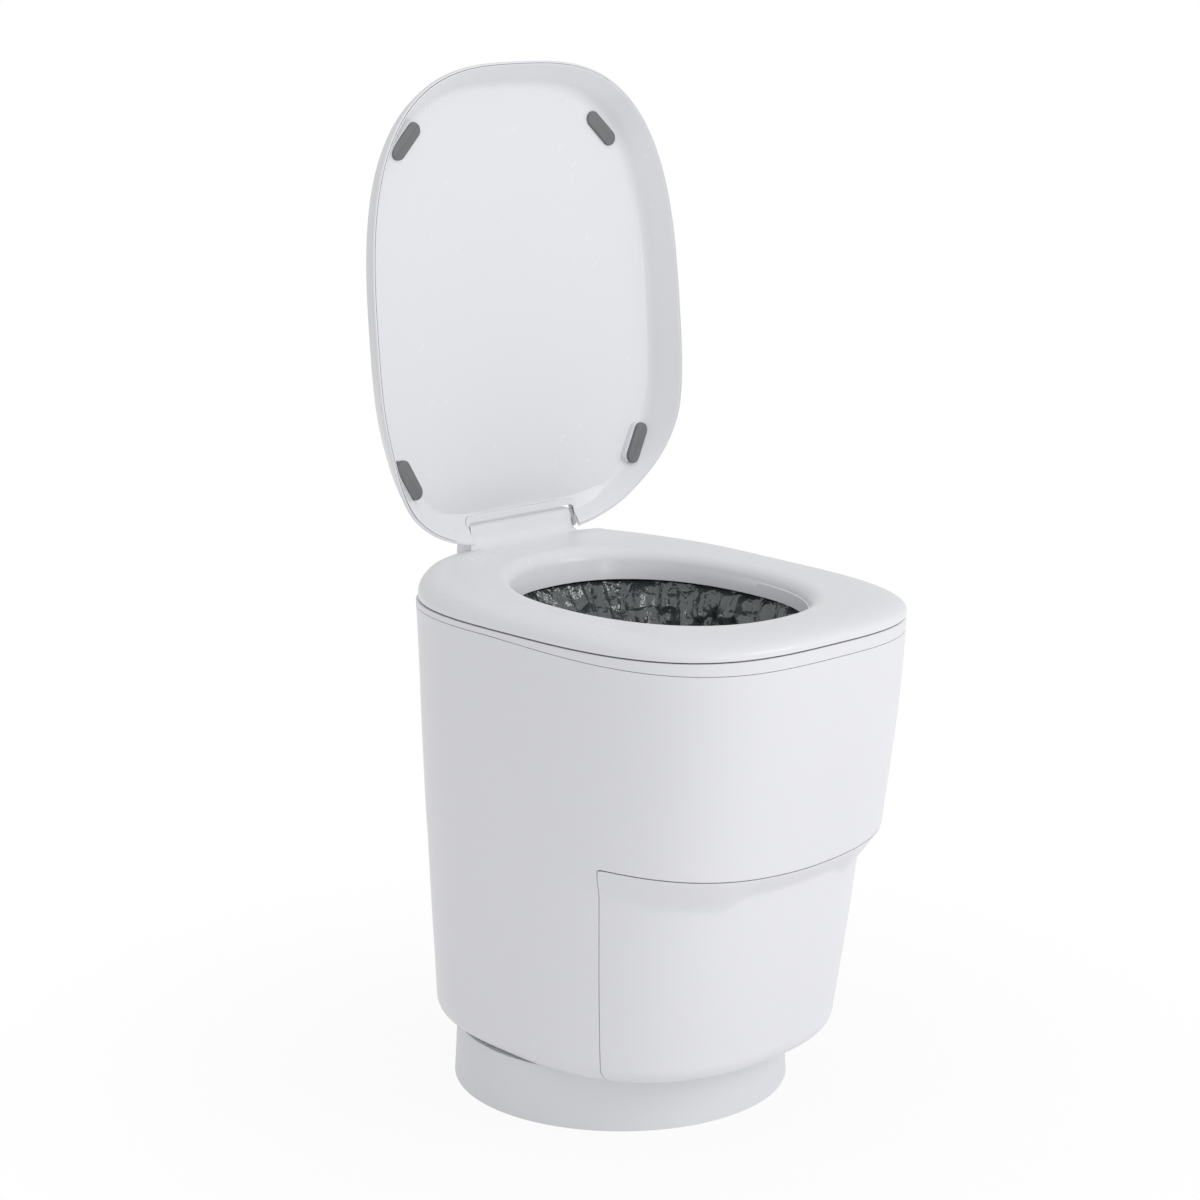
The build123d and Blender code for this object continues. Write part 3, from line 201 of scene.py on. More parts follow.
# The wall is 3 mm thick all round, and the hollow is open at the top, where the collar goes.
hollow = draw_loops("casing_hollow", [upper_wall(collar_line() + 0.02)] + casing_loops())
close_ends(hollow)
for vert in hollow.data.vertices:
    outward = Vector((vert.co.x, vert.co.y + 0.05, 0)).normalized()
    vert.co -= outward * WALL * WALL_SLOPE
    if vert.co.z < FLOOR_ZONE:
        vert.co.z += WALL
carve(casing, hollow)
scrap(hollow)

# The waste drawer takes the whole front below the soft edge. Its joint rises upright on each side,
# leans back a little, turns a corner and runs along just over the edge, a millimetre wide.
SEAM = 0.0005
SEAM_SIDE = [(-0.129, 0.050), (-0.1310, 0.095), (-0.1395, 0.222), (-0.1412, 0.244), (-0.1440, 0.252)]
CORNER_START, CORNER_END = (-0.1462, 0.2575), (-0.1600, 0.2590)
KNEE_FORWARD = 0.0006
LIFT_FROM, LIFT_SPAN = 0.235, 0.02
TOOL_HALF, TOOL_FRONT, TOOL_LOW = 0.2, -0.3, 0.03


def drawer_tool(name, grow):
    """Side view of the drawer front, extruded across the casing and bent up towards both sides."""
    start, end = np.array(CORNER_START), np.array(CORNER_END)
    knee = np.array([start[0] - KNEE_FORWARD, end[1]])
    profile = [np.array(p) for p in SEAM_SIDE] + bend(start, knee, end, 9)
    profile = np.array([p + [grow, 0] for p in profile])
    profile[len(SEAM_SIDE):, 1] += grow
    top = profile[-1, 1]
    around = [[-0.2, top], [TOOL_FRONT, top], [TOOL_FRONT, TOOL_LOW], [-0.13, TOOL_LOW]]
    profile = np.concatenate([profile, around])
    loops = []
    for x in np.linspace(-TOOL_HALF, TOOL_HALF, 81):
        lift = (edge_height(x) - edge_height(0)) * np.clip((profile[:, 1] - LIFT_FROM) / LIFT_SPAN, 0, 1)
        loops.append(np.stack([np.full(len(profile), x), profile[:, 0], profile[:, 1] + lift], 1))
    tool = draw_loops(name, loops)
    close_ends(tool)
    return tool


drawer_front = copy_of(casing, "drawer_face")
seam_outer = drawer_tool("seam_outer", SEAM)
carve(casing, seam_outer)
scrap(seam_outer)


class Signal:
    """A socket in a material that sums can be written with."""

    def __init__(self, finish, socket):
        self.finish, self.socket = finish, socket

    def _sum(self, operation, a, b):
        return self.finish.node("ShaderNodeMath", {"operation": operation}, {0: a, 1: b})

    def __add__(self, other):
        return self._sum("ADD", self, other)

    __radd__ = __add__

    def __sub__(self, other):
        return self._sum("SUBTRACT", self, other)

    def __rsub__(self, other):
        return self._sum("SUBTRACT", other, self)

    def __mul__(self, other):
        return self._sum("MULTIPLY", self, other)

    __rmul__ = __mul__


class Finish:
    """A procedural material: a Principled surface and the nodes that vary it."""

    def __init__(self, name, **fixed):
        self.material = bpy.data.materials.new(name)
        self.material.use_nodes = True
        self.tree = self.material.node_tree
        self.shader = next(n for n in self.tree.nodes if n.type == "BSDF_PRINCIPLED")
        self.place = self.node("ShaderNodeTexCoord", out="Object")
        for socket, value in fixed.items():
            self.shader.inputs[socket.replace("_", " ")].default_value = value

    def node(self, kind, settings=None, inputs=None, out=0):
        """Makes a node of this type: its settings first, then a value or a link for each socket."""
        made = self.tree.nodes.new(kind)
        for key, value in (settings or {}).items():
            setattr(made, key, value)
        for key, value in (inputs or {}).items():
            if isinstance(value, Signal):
                self.tree.links.new(value.socket, made.inputs[key])
            else:
                made.inputs[key].default_value = value
        return Signal(self, made.outputs[out])

    def feed(self, socket, signal):
        self.tree.links.new(signal.socket, self.shader.inputs[socket])

    def noise(self, scale, detail=2.0, roughness=0.5):
        inputs = {"Vector": self.place, "Scale": scale, "Detail": detail, "Roughness": roughness}
        return self.node("ShaderNodeTexNoise", None, inputs)

    def blend(self, share, a, b):
        """Mix of two colours: sockets 6 and 7 are the colour inputs, and 2 is the colour output."""
        inputs = {"Factor": share, 6: (*a, 1), 7: (*b, 1)}
        return self.node("ShaderNodeMix", {"data_type": "RGBA"}, inputs, out=2)

    def bump(self, height, strength, distance):
        inputs = {"Height": height, "Strength": strength, "Distance": distance}
        self.feed("Normal", self.node("ShaderNodeBump", None, inputs))


def moulded_white(name, colour, shade, rough, grain=0.25):
    """Satin white moulding: almost even, with faint cloudiness, and a fine texture from the mould."""
    finish = Finish(name, Coat_Weight=0.0, Specular_IOR_Level=0.42)
    finish.feed("Base Color", finish.blend(finish.noise(9, 3), colour, shade))
    finish.feed("Roughness", finish.noise(55, 2) * 0.06 + (rough - 0.03))
    finish.bump(finish.noise(700, 2), grain, 0.00001)
    return finish.material


def wear(piece, material):
    piece.data.materials.clear()
    piece.data.materials.append(material)


def smooth(piece, crease=32):
    """Smooth shading, broken at edges sharper than this many degrees."""
    bpy.ops.object.select_all(action="DESELECT")
    piece.select_set(True)
    bpy.context.view_layer.objects.active = piece
    bpy.ops.object.shade_smooth_by_angle(angle=math.radians(crease))
    piece.select_set(False)


white = moulded_white("casing_white", (0.806, 0.808, 0.838), (0.796, 0.798, 0.828), 0.34)
wear(casing, white)
smooth(casing)
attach(casing, "cabinet")
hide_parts("body_shell")

# The drawer front is what the casing lost to the seam, less the width of the joint.
# It slides out with the drawer.
seam_inner = drawer_tool("seam_inner", -SEAM)
carve(drawer_front, seam_inner, "INTERSECT")
scrap(seam_inner)
wear(drawer_front, white)
smooth(drawer_front)
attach(drawer_front, "drawer")
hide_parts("drawer_front")

# The rim collar is the thin band under the seat. A fine joint parts it from the casing, and the
# mouth of the liner cassette is cut through its top.
BOWL_Y = -0.050
COLLAR_JOINT, COLLAR_EDGE, COLLAR_FLOOR = 0.0006, 0.4672, 0.459
COLLAR_MOUTH_HALF, COLLAR_MOUTH_LENGTH = 0.124, 0.154


def bowl(half_width, half_length, power=2.3):
    return egg(half_width, half_length, half_length, power, power, BOWL_Y)


def ring_at(outline, z):
    return np.stack([outline[0], outline[1], outline[0] * 0 + z], 1)


def weld(piece, distance=0.00005):
    """Points that lie together are joined, and the faces are turned outwards."""
    bpy.context.view_layer.objects.active = piece
    bpy.ops.object.mode_set(mode="EDIT")
    bpy.ops.mesh.select_all(action="SELECT")
    bpy.ops.mesh.remove_doubles(threshold=distance)
    bpy.ops.mesh.normals_make_consistent(inside=False)
    bpy.ops.object.mode_set(mode="OBJECT")


line = collar_line()
mouth = ring_at(bowl(COLLAR_MOUTH_HALF, COLLAR_MOUTH_LENGTH), 0)
collar_foot = upper_wall(line + COLLAR_JOINT)
collar_loops = [collar_foot * [0.975, 0.975, 1], collar_foot]
collar_loops += [upper_wall(line + (COLLAR_EDGE - line) * t) for t in (0.15, 0.5, 0.85, 1.0)]
collar_loops += [(upper_wall(COLLAR_TOP) - [0, MID_Y, 0]) * [0.997, 0.997, 1] + [0, MID_Y, 0]]
collar_loops += [mouth + [0, 0, COLLAR_TOP], mouth + [0, 0, COLLAR_FLOOR]]
collar_loops += [collar_loops[0]]
collar = draw_loops("rim_collar_band", collar_loops)
weld(collar)
wear(collar, white)
smooth(collar)
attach(collar, "cabinet")
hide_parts("rim_collar")

# The seat is a broad hollow moulding with a crowned top, which climbs slowly from the front to the hinge
# and has a low shoulder on each side of it. It rolls over into the opening, and ends in a short skirt.
SEAT_LOW = 0.4692
SEAT_ROLL, MOUTH_ROLL = 0.0351, 0.0155
ROLL_ACROSS, ROLL_UP = 0.92, 0.86
CROWN_Y = [-0.270, -0.120, 0.020, 0.100, 0.166]
CROWN_Z = [0.4830, 0.4850, 0.4872, 0.4916, 0.5040]
CROWN_LIMIT = 0.4995
CROWN_FALL, MOUTH_FALL, MOUTH_REACH = 0.0006, 0.0125, 0.0150
SHOULDER_RISE, SHOULDER_FROM, SHOULDER_CLIMB = 0.0124, 0.095, 0.050
SHOULDER_INNER, SHOULDER_WIDTH = 0.052, 0.018
SHOULDER_OUTER, SHOULDER_FADE = 0.060, 0.035
SKIRT = [
    (0.0006, 0.4725), (0.0016, 0.4670), (0.0022, 0.4608),
    (0.0006, 0.4600), (-0.0010, 0.4605), (-0.0020, 0.4700),
]
seat_edge = np.stack(egg(0.1815, 0.232, 0.2015, 3.18, 2.94), 1)
seat_mouth = np.stack(bowl(0.1145, 0.1457), 1)
reach_in = seat_mouth - seat_edge
width = np.linalg.norm(reach_in, axis=1)[:, None]


def seat_loop(inward, rise=None, drop=0.0, level=None):
    """A loop this far in from the outer edge, at a share of the crown's height there or at a level."""
    place = seat_edge + reach_in / width * inward
    aside = np.abs(place[:, 0])
    climb = np.clip((place[:, 1] - SHOULDER_FROM) / SHOULDER_CLIMB, 0, 1) ** 2
    shoulder = SHOULDER_RISE * climb * np.clip((aside - SHOULDER_INNER) / SHOULDER_WIDTH, 0, 1)
    shoulder *= np.exp(-(np.clip(aside - SHOULDER_OUTER, 0, None) / SHOULDER_FADE) ** 2)
    crown = np.minimum(eased(place[:, 1], CROWN_Y, CROWN_Z) + shoulder, CROWN_LIMIT) - drop
    foot = SEAT_LOW + 0.003
    z = foot + (crown - foot) * rise if level is None else crown * 0 + level
    return np.concatenate([place, z[:, None]], 1)


seat_loops = [seat_loop(0.006, level=SEAT_LOW + 0.002), seat_loop(0.0015, level=SEAT_LOW)]
seat_loops += [seat_loop(0.0004, level=SEAT_LOW + 0.0003)]
for turn in np.radians(np.linspace(0, 90, 15)):
    inward = SEAT_ROLL * (1 - math.cos(turn) ** ROLL_ACROSS)
    seat_loops.append(seat_loop(inward, math.sin(turn) ** ROLL_UP))
for share in (0.2, 0.4, 0.6, 0.8):
    inward = SEAT_ROLL + (width - SEAT_ROLL - MOUTH_ROLL) * share
    seat_loops.append(seat_loop(inward, 1, CROWN_FALL * share))
for turn in np.radians(np.linspace(0, 84, 11)):
    short_of = MOUTH_ROLL - MOUTH_REACH * math.sin(turn)
    seat_loops.append(seat_loop(width - short_of, 1, CROWN_FALL + MOUTH_FALL * (1 - math.cos(turn))))
for beyond, level in SKIRT:
    seat_loops.append(seat_loop(width + beyond, level=level))
seat_loops += [seat_loops[0]]
seat = draw_loops("seat_top", seat_loops)
weld(seat)
seat_white = moulded_white("seat_white", (0.812, 0.816, 0.842), (0.802, 0.806, 0.832), 0.26, 0.12)
wear(seat, seat_white)
smooth(seat)
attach(seat, "seat")
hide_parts("seat_ring")

# The hinge block stands up from the rear of the seat as one moulding with it. Its front is a hollow
# curve that flares out at its foot, and its flat top edge lies along the hinge line of the lid.
# A round seat for each barrel of the lid is bored into its ends.
HINGE_Y, HINGE_Z = 0.1473, 0.5132
BLOCK_PROFILE = [
    (0.1040, 0.4890), (0.1110, 0.4926), (0.1200, 0.4944), (0.1275, 0.4962), (0.1328, 0.4986), (0.1365, 0.5022),
    (0.1384, 0.5065), (0.1391, 0.5110), (0.1396, 0.5155), (0.1403, 0.5193), (0.1420, 0.5213), (0.1460, 0.5218),
    (0.1525, 0.5214), (0.1560, 0.5120), (0.1590, 0.5000), (0.1600, 0.4850), (0.1200, 0.4800), (0.1040, 0.4830),
]
BLOCK_HALF = [
    0.0845, 0.0815, 0.0775, 0.0735, 0.0695, 0.0665, 0.0652, 0.0646, 0.0640,
    0.0636, 0.0634, 0.0634, 0.0634, 0.0638, 0.0645, 0.0648, 0.0640, 0.0680,
]
BORE_RADIUS, BORE_DEPTH, BORE_X = 0.0078, 0.02, 0.0668
ACROSS = (0, math.pi / 2, 0)
block_loops = []
for across in np.linspace(-1, 1, 41):
    block_loops.append([(half * across, y, z) for (y, z), half in zip(BLOCK_PROFILE, BLOCK_HALF)])
hinge_block = draw_loops("hinge_block", block_loops)
close_ends(hinge_block)
for side in (-1, 1):
    middle = (side * BORE_X, HINGE_Y, HINGE_Z)
    bpy.ops.mesh.primitive_cylinder_add(
        vertices=64, radius=BORE_RADIUS, depth=BORE_DEPTH, location=middle, rotation=ACROSS
    )
    bore = bpy.context.object
    carve(hinge_block, bore)
    scrap(bore)
trim = hinge_block.modifiers.new("trim", "BEVEL")
trim.width, trim.segments, trim.angle_limit = 0.0012, 3, math.radians(50)
bpy.context.view_layer.objects.active = hinge_block
bpy.ops.object.modifier_apply(modifier=trim.name)
wear(hinge_block, seat_white)
smooth(hinge_block)
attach(hinge_block, "seat")

# The lid's cap is a shallow dome, drawn shut over the seat and then swung open on its hinge line. Its
# rim is a thin lip that rises beside the hinge, and a notch in its rear edge lets the hinge block in.
RIM_Z, LID_TOP, FACE_Z = 0.466, 0.514, 0.4955
LID_HALF, LID_FRONT, LID_REAR = 0.1924, 0.2552, 0.1968
LID_FRONT_POWER, LID_REAR_POWER = 2.95, 2.80
RISE_Y = [0.040, 0.057, 0.080, 0.100, 0.123, 0.144, 0.161]
RISE_Z = [0.4660, 0.4668, 0.4712, 0.4772, 0.4862, 0.4925, 0.4975]
FACE_FRONT_Z, FACE_FRONT_Y, FACE_SLOPE = 0.4925, -0.224, 0.01715
FACE_SINK, SINK_FROM, SINK_SPAN = 0.0105, 0.085, 0.050
CAP_THICK = 0.0022
DOME = [
    (0.0, 0.4690), (0.0012, 0.4715), (0.0034, 0.4775), (0.0060, 0.4832), (0.0088, 0.4876), (0.0125, 0.4917),
    (0.0175, 0.4957), (0.0225, 0.4992), (0.0280, 0.5025), (0.0345, 0.5056), (0.0420, 0.5083), (0.0520, 0.5107),
    (0.0660, 0.5126), (0.0850, 0.5137), (0.1100, 0.5140), (0.1500, 0.5140),
]
RIM_LIP = [(0.0022, 0.4672), (0.0019, 0.4663), (0.0013, 0.4660), (0.0006, 0.4663), (0.0001, 0.4672)]
NOTCH_X, NOTCH_Y, NOTCH_ROUND = 0.0672, 0.1360, 0.004
OPEN = math.radians(-94.88)
turned = Matrix.Translation((0, HINGE_Y, HINGE_Z)) @ Matrix.Rotation(OPEN, 4, "X")
swing = turned @ Matrix.Translation((0, -HINGE_Y, -HINGE_Z))


def lid_loop(inset, z, recess):
    """Loop of the lid, stretched between the height of its rim and that of its top or its sloping face."""
    x, y = egg(LID_HALF - inset, LID_FRONT - inset, LID_REAR - inset, LID_FRONT_POWER, LID_REAR_POWER)
    rim = eased(y, RISE_Y, RISE_Z)
    sink = FACE_SINK * np.clip((y - SINK_FROM) / SINK_SPAN, 0, 1) ** 2
    face = FACE_FRONT_Z + FACE_SLOPE * (y - FACE_FRONT_Y) + sink
    end, drawn = (face, FACE_Z) if recess else (LID_TOP, LID_TOP)
    return np.stack([x, y, rim + (end - rim) * (z - RIM_Z) / (drawn - RIM_Z)], 1)


def behind(profile, depth):
    """The back of a wall, drawn the other way along its front."""
    points = np.array(profile)
    along = np.gradient(points, axis=0)
    along /= np.linalg.norm(along, axis=1)[:, None]
    return [tuple(p) for p in (points + along[:, ::-1] * [depth, -depth])[::-1]]


def lid_skin(name, sections, recess=False):
    """Skin drawn from the middle of its back, out over the rim and in to the middle of its front."""
    skin = draw_loops(name, [lid_loop(inset, z, recess) for inset, z in sections])
    close_ends(skin)
    return skin


def bevel_where(piece, chosen, offset, segments):
    """Rounds the edges for which the test holds."""
    bpy.ops.object.mode_set(mode="EDIT")
    bpy.ops.mesh.select_all(action="DESELECT")
    bm = bmesh.from_edit_mesh(piece.data)
    for edge in bm.edges:
        edge.select = chosen(edge)
    bmesh.update_edit_mesh(piece.data)
    bpy.ops.mesh.select_mode(type="EDGE")
    bpy.ops.mesh.bevel(offset=offset, segments=segments)
    bpy.ops.mesh.select_mode(type="VERT")
    bpy.ops.object.mode_set(mode="OBJECT")


def upright(edge):
    a, b = edge.verts
    return abs((a.co - b.co).normalized().z) > 0.99


def block_tool(name, low, high, rounding):
    """A box laid in by two of its corners, with its upright edges rounded."""
    low, high = Vector(low), Vector(high)
    bpy.ops.mesh.primitive_cube_add(size=1, location=(low + high) / 2, scale=high - low)
    tool = bpy.context.object
    tool.name = tool.data.name = name
    bpy.ops.object.transform_apply(location=True, rotation=True, scale=True)
    bevel_where(tool, upright, rounding, 6)
    return tool


lid_cap = lid_skin("lid_cap", behind(DOME, CAP_THICK) + RIM_LIP + DOME)
notch = block_tool("notch", (-NOTCH_X, NOTCH_Y, 0.40), (NOTCH_X, 0.30, 0.60), NOTCH_ROUND)
carve(lid_cap, notch)
lid_cap.data.transform(swing)
wear(lid_cap, seat_white)
smooth(lid_cap)
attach(lid_cap, "lid")
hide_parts("lid_shell")

# The liner moulding forms the soft-cornered recess inside the lid: a leaning wall, a round fillet and a
# face that slopes and sinks towards the hinge. On the left it has a pocket for the longer barrel.
LINER_THICK, LINER_GAP = 0.0016, 0.0006
WALL_FOOT, WALL_RUN = (0.0041, 0.4678), (0.0104, 0.0170)
WALL_TOP, FILLET_CORNER, FACE_START = (0.0145, 0.4848), (0.0197, FACE_Z), (0.0262, FACE_Z)
POCKET_LOW, POCKET_HIGH, POCKET_ROUND = (-0.0905, 0.1395, 0.470), (-0.0660, 0.1552, 0.5090), 0.003
recess = [(0.0024, 0.4663), (0.0029, 0.4662), (0.0035, 0.4667), WALL_FOOT]
recess += [(WALL_FOOT[0] + WALL_RUN[0] * t, WALL_FOOT[1] + WALL_RUN[1] * t) for t in (0.2, 0.5, 0.8)]
recess += [tuple(p) for p in bend(*(np.array(p) for p in (WALL_TOP, FILLET_CORNER, FACE_START)), 9)]
recess += [(inset, FACE_Z) for inset in (0.040, 0.065, 0.095, 0.130, 0.165)]
liner_back = behind([(inset + LINER_GAP, z) for inset, z in recess], -LINER_THICK)
lid_liner = lid_skin("lid_liner", liner_back + recess, True)
carve(lid_liner, notch)
pocket = block_tool("pocket", POCKET_LOW, POCKET_HIGH, POCKET_ROUND)
carve(lid_liner, pocket)
lid_liner.data.transform(swing)
wear(lid_liner, seat_white)
smooth(lid_liner)
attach(lid_liner, "lid")
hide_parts("lid_inner_panel")

# A raised lip runs round the notch, in front of the hinge block and along both of its ends.
# The same notch and pocket are cut from it.
LIP_SIDE, LIP_FRONT, LIP_ROUND = 0.0032, 0.0063, 0.0055
LIP_REAR_Y, LIP_LOW_Z, LIP_HIGH_Z = 0.1580, 0.5030, 0.5100
lip_low = (-NOTCH_X - LIP_SIDE, NOTCH_Y - LIP_FRONT, LIP_LOW_Z)
lip_high = (NOTCH_X + LIP_SIDE, LIP_REAR_Y, LIP_HIGH_Z)
notch_lip = block_tool("lid_notch_lip", lip_low, lip_high, LIP_ROUND)
carve(notch_lip, notch)
scrap(notch)
carve(notch_lip, pocket)
scrap(pocket)
notch_lip.data.transform(swing)
wear(notch_lip, seat_white)
smooth(notch_lip)
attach(notch_lip, "lid")

# Four grey rubber pads sit in the corners of the recess and land on the seat when the lid is shut.
# Each stands between a top and a foot height, at its place and turn in degrees.
PAD_LENGTH, PAD_WIDTH, PAD_EDGE = 0.042, 0.0150, 0.0012
PAD_PLACES = {
    "front_left": (-0.1221, -0.224, -44, 0.4896, 0.4950),
    "front_right": (0.1221, -0.224, 44, 0.4896, 0.4950),
    "rear_left": (-0.1455, 0.0848, 62, 0.4892, 0.5000),
    "rear_right": (0.1462, 0.0848, -62, 0.4892, 0.5000),
}


def lozenge(name, x, y, turn, top, foot, edge):
    """A block with round ends, laid at its place with the edges of its face rounded."""
    half, reach = PAD_LENGTH / 2, PAD_WIDTH / 2
    made = block_tool(name, (-half, -reach, -foot), (half, reach, -top), PAD_WIDTH * 0.499)
    bevel_where(made, lambda side: all(vert.co.z > -top - 0.0001 for vert in side.verts), edge, 3)
    placed = Matrix.Translation((x, y, 0)) @ Matrix.Rotation(math.radians(turn), 4, "Z")
    made.matrix_world = placed @ Matrix.Scale(-1, 4, (0, 0, 1))
    bpy.ops.object.transform_apply(location=True, rotation=True, scale=True)
    weld(made, 0.00001)
    made.data.transform(swing)
    return made


rubber = Finish("pad_rubber", Roughness=0.55)
rubber.feed("Base Color", rubber.blend(rubber.noise(60), (0.150, 0.155, 0.160), (0.180, 0.184, 0.190)))
rubber.bump(rubber.noise(1500), 0.3, 0.00004)
for place, (x, y, turn, top, foot) in PAD_PLACES.items():
    pad = lozenge("lid_pad_" + place + "_rubber", x, y, turn, top, foot, PAD_EDGE)
    wear(pad, rubber.material)
    smooth(pad)
    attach(pad, "lid")
    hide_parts("lid_pad_" + place)

# The rear pads stand tall, and each is held on its inner side by a white cradle on the liner.
# A cradle is the pad's own shape, moved inwards and lower.
CRADLE_IN, CRADLE_FORWARD, CRADLE_LOWER, CRADLE_EDGE = 0.0016, 0.0008, 0.0034, 0.0008
for place in ("rear_left", "rear_right"):
    x, y, turn, top, foot = PAD_PLACES[place]
    inner = x - math.copysign(CRADLE_IN, x)
    cradle_top = top + CRADLE_LOWER
    cradle = lozenge("pad_cradle_" + place, inner, y - CRADLE_FORWARD, turn, cradle_top, foot, CRADLE_EDGE)
    wear(cradle, seat_white)
    smooth(cradle)
    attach(cradle, "lid")

# The lid turns on two short barrels, one at each end of the hinge block, moulded on the notch's sides.
# The left one is longer.
BARREL_RADIUS, BARREL_EDGE, BARREL_INNER = 0.0067, 0.0009, 0.0572
BARREL_OUTER = {"left": 0.0820, "right": 0.0700}
for side, sign in (("left", -1), ("right", 1)):
    outer_end = BARREL_OUTER[side]
    middle = (sign * (BARREL_INNER + outer_end) / 2, HINGE_Y, HINGE_Z)
    bpy.ops.mesh.primitive_cylinder_add(
        vertices=48, radius=BARREL_RADIUS, depth=outer_end - BARREL_INNER, location=middle, rotation=ACROSS
    )
    barrel = bpy.context.object
    barrel.name = barrel.data.name = "lid_knuckle_" + side
    bpy.ops.object.transform_apply(location=True, rotation=True, scale=True)
    soften = barrel.modifiers.new("soften", "BEVEL")
    soften.width, soften.segments = BARREL_EDGE, 3
    bpy.ops.object.modifier_apply(modifier=soften.name)
    barrel.data.transform(swing)
    wear(barrel, seat_white)
    smooth(barrel)
    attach(barrel, "lid")

# The liner is a tube of thin dark film pulled up from the cassette: pleated where the mouth gathers it,
# crumpled further down, and drawn flat into the sealing jaws below.
FILM_LOOPS, FILM_TOP, FILM_DEPTH = 64, 0.4575, 0.112
THROAT_FROM, THROAT_Z, THROAT_DROP = 0.85, 0.3623, 0.045
FILM_SHARE = [0, 0.12, 0.3, 1.0]
FILM_HALF = [0.1195, 0.1165, 0.1140, 0.1010]
FILM_LENGTH = [0.1495, 0.1465, 0.1260, 0.0210]
THROAT_LENGTH, THROAT_CLOSING = 0.021, 0.0165
CALM_BELOW = 0.350
PLEAT, FINE_PLEAT, FACET, CREASE = 0.0100, 0.0040, 0.019, 0.0060
film_loops = []
for k in range(FILM_LOOPS):
    t = k / (FILM_LOOPS - 1)
    closing = (t - THROAT_FROM) / (1 - THROAT_FROM)
    z = FILM_TOP - FILM_DEPTH * t if t < THROAT_FROM else THROAT_Z - THROAT_DROP * closing
    share = np.clip((FILM_TOP - z) / FILM_DEPTH, 0, 1)
    half_length = eased(share, FILM_SHARE, FILM_LENGTH)
    if t > THROAT_FROM:
        half_length = THROAT_LENGTH - THROAT_CLOSING * closing
    film_loops.append(ring_at(bowl(eased(share, FILM_SHARE, FILM_HALF), half_length), z))
film = draw_loops("liner_bag", film_loops)
bpy.context.view_layer.objects.active = film
bpy.ops.object.mode_set(mode="EDIT")
bpy.ops.mesh.select_all(action="SELECT")
bpy.ops.mesh.normals_make_consistent(inside=True)
bpy.ops.mesh.subdivide(number_cuts=1)
bpy.ops.object.mode_set(mode="OBJECT")


def zigzag(at):
    """Wave with straight flanks between 0 and 1."""
    return abs(at % 1 - 0.5) * 2


def crumple(vert):
    """Inward push of the film at a point: long pleats from the mouth, flat creased facets below."""
    p, turn = vert.co, math.atan2(vert.co.y - BOWL_Y, vert.co.x)
    depth = (FILM_TOP - p.z) / 0.12
    swirl = turn + 0.10 * noise.noise((turn * 3, depth * 3, 7))
    pleat = zigzag(swirl * 5.2 + 0.8 * noise.noise((turn * 2, 0.3, 5)))
    fine = zigzag(swirl * 13.7 + 1.5 * noise.noise((turn * 4, depth * 2, 1)))
    nearest = noise.voronoi(p * 17 + Vector((3, 1, 0)))[0]
    facet = min(1, (nearest[1] - nearest[0]) * 2.2)
    small = noise.voronoi(p * 41)[0]
    crease = small[1] - small[0]
    upper = max(0, 1 - depth * 1.3)
    push = (PLEAT * pleat + FINE_PLEAT * fine) * upper + FACET * facet * min(1, depth * 2.5) + CREASE * crease
    return min(1, depth * 6) * push


for vert in film.data.vertices:
    centre = Vector((0, BOWL_Y, vert.co.z - 0.02))
    if vert.co.z > CALM_BELOW:
        vert.co += (centre - vert.co).normalized() * crumple(vert)
film_dark = Finish("film_dark", IOR=1.6, Specular_IOR_Level=1.0)
film_shades = film_dark.blend(film_dark.noise(14, 3), (0.045, 0.056, 0.060), (0.082, 0.098, 0.102))
film_dark.feed("Base Color", film_shades)
film_dark.feed("Roughness", film_dark.noise(40, 3) * 0.08 + 0.09)
creases = film_dark.node(
    "ShaderNodeTexVoronoi", {"feature": "DISTANCE_TO_EDGE"}, {"Vector": film_dark.place, "Scale": 30.0}
)
film_dark.bump(creases * 2.0 + film_dark.noise(60, 3, 0.6), 0.8, 0.0060)
wear(film, film_dark.material)
smooth(film, 50)
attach(film, "cabinet")
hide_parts("liner_film")


# The plinth and the working parts inside are shown as their own solids, each with a finish for its kind.
# A word in a node's name picks its finish, and a node with none of the words is white inside plastic.
def plain(name, colour, other, rough, metal=0.0, scale=40, grain=0.2):
    """Even finish for a working part: two close shades, a little change of gloss and a fine grain."""
    finish = Finish(name, Metallic=metal)
    finish.feed("Base Color", finish.blend(finish.noise(scale, 3), colour, other))
    finish.feed("Roughness", finish.noise(scale * 3) * 0.10 + (rough - 0.05))
    finish.bump(finish.noise(900), grain, 0.00002)
    return finish.material


steel = plain("bright_steel", (0.56, 0.56, 0.57), (0.50, 0.50, 0.51), 0.28, 1.0)
grey_plastic = plain("grey_plastic", (0.24, 0.25, 0.26), (0.21, 0.22, 0.23), 0.45)
dark_plastic = plain("dark_plastic", (0.045, 0.047, 0.050), (0.035, 0.037, 0.040), 0.42)
soft_rubber = plain("soft_rubber", (0.060, 0.062, 0.065), (0.045, 0.047, 0.050), 0.70, 0.0, 60, 0.4)
green_board = plain("circuit_board", (0.030, 0.140, 0.070), (0.022, 0.110, 0.055), 0.38)
heater_strip = plain("heater_strip", (0.42, 0.30, 0.12), (0.36, 0.25, 0.10), 0.35, 0.6)
inner_white = plain("inner_white", (0.700, 0.706, 0.720), (0.680, 0.686, 0.700), 0.40)
plinth_white = moulded_white("plinth_white", (0.770, 0.776, 0.796), (0.760, 0.766, 0.786), 0.45, 0.3)
WORKING_FINISHES = (
    (("screw", "pin", "bracket", "rod", "runner"), steel),
    (("board",), green_board),
    (("heater",), heater_strip),
    (("gasket", "bumper", "sleeve", "roller"), soft_rubber),
    (("motor", "damper", "inlet", "cassette", "nut"), dark_plastic),
    (("button", "glide", "retainer", "deck", "block"), grey_plastic),
)
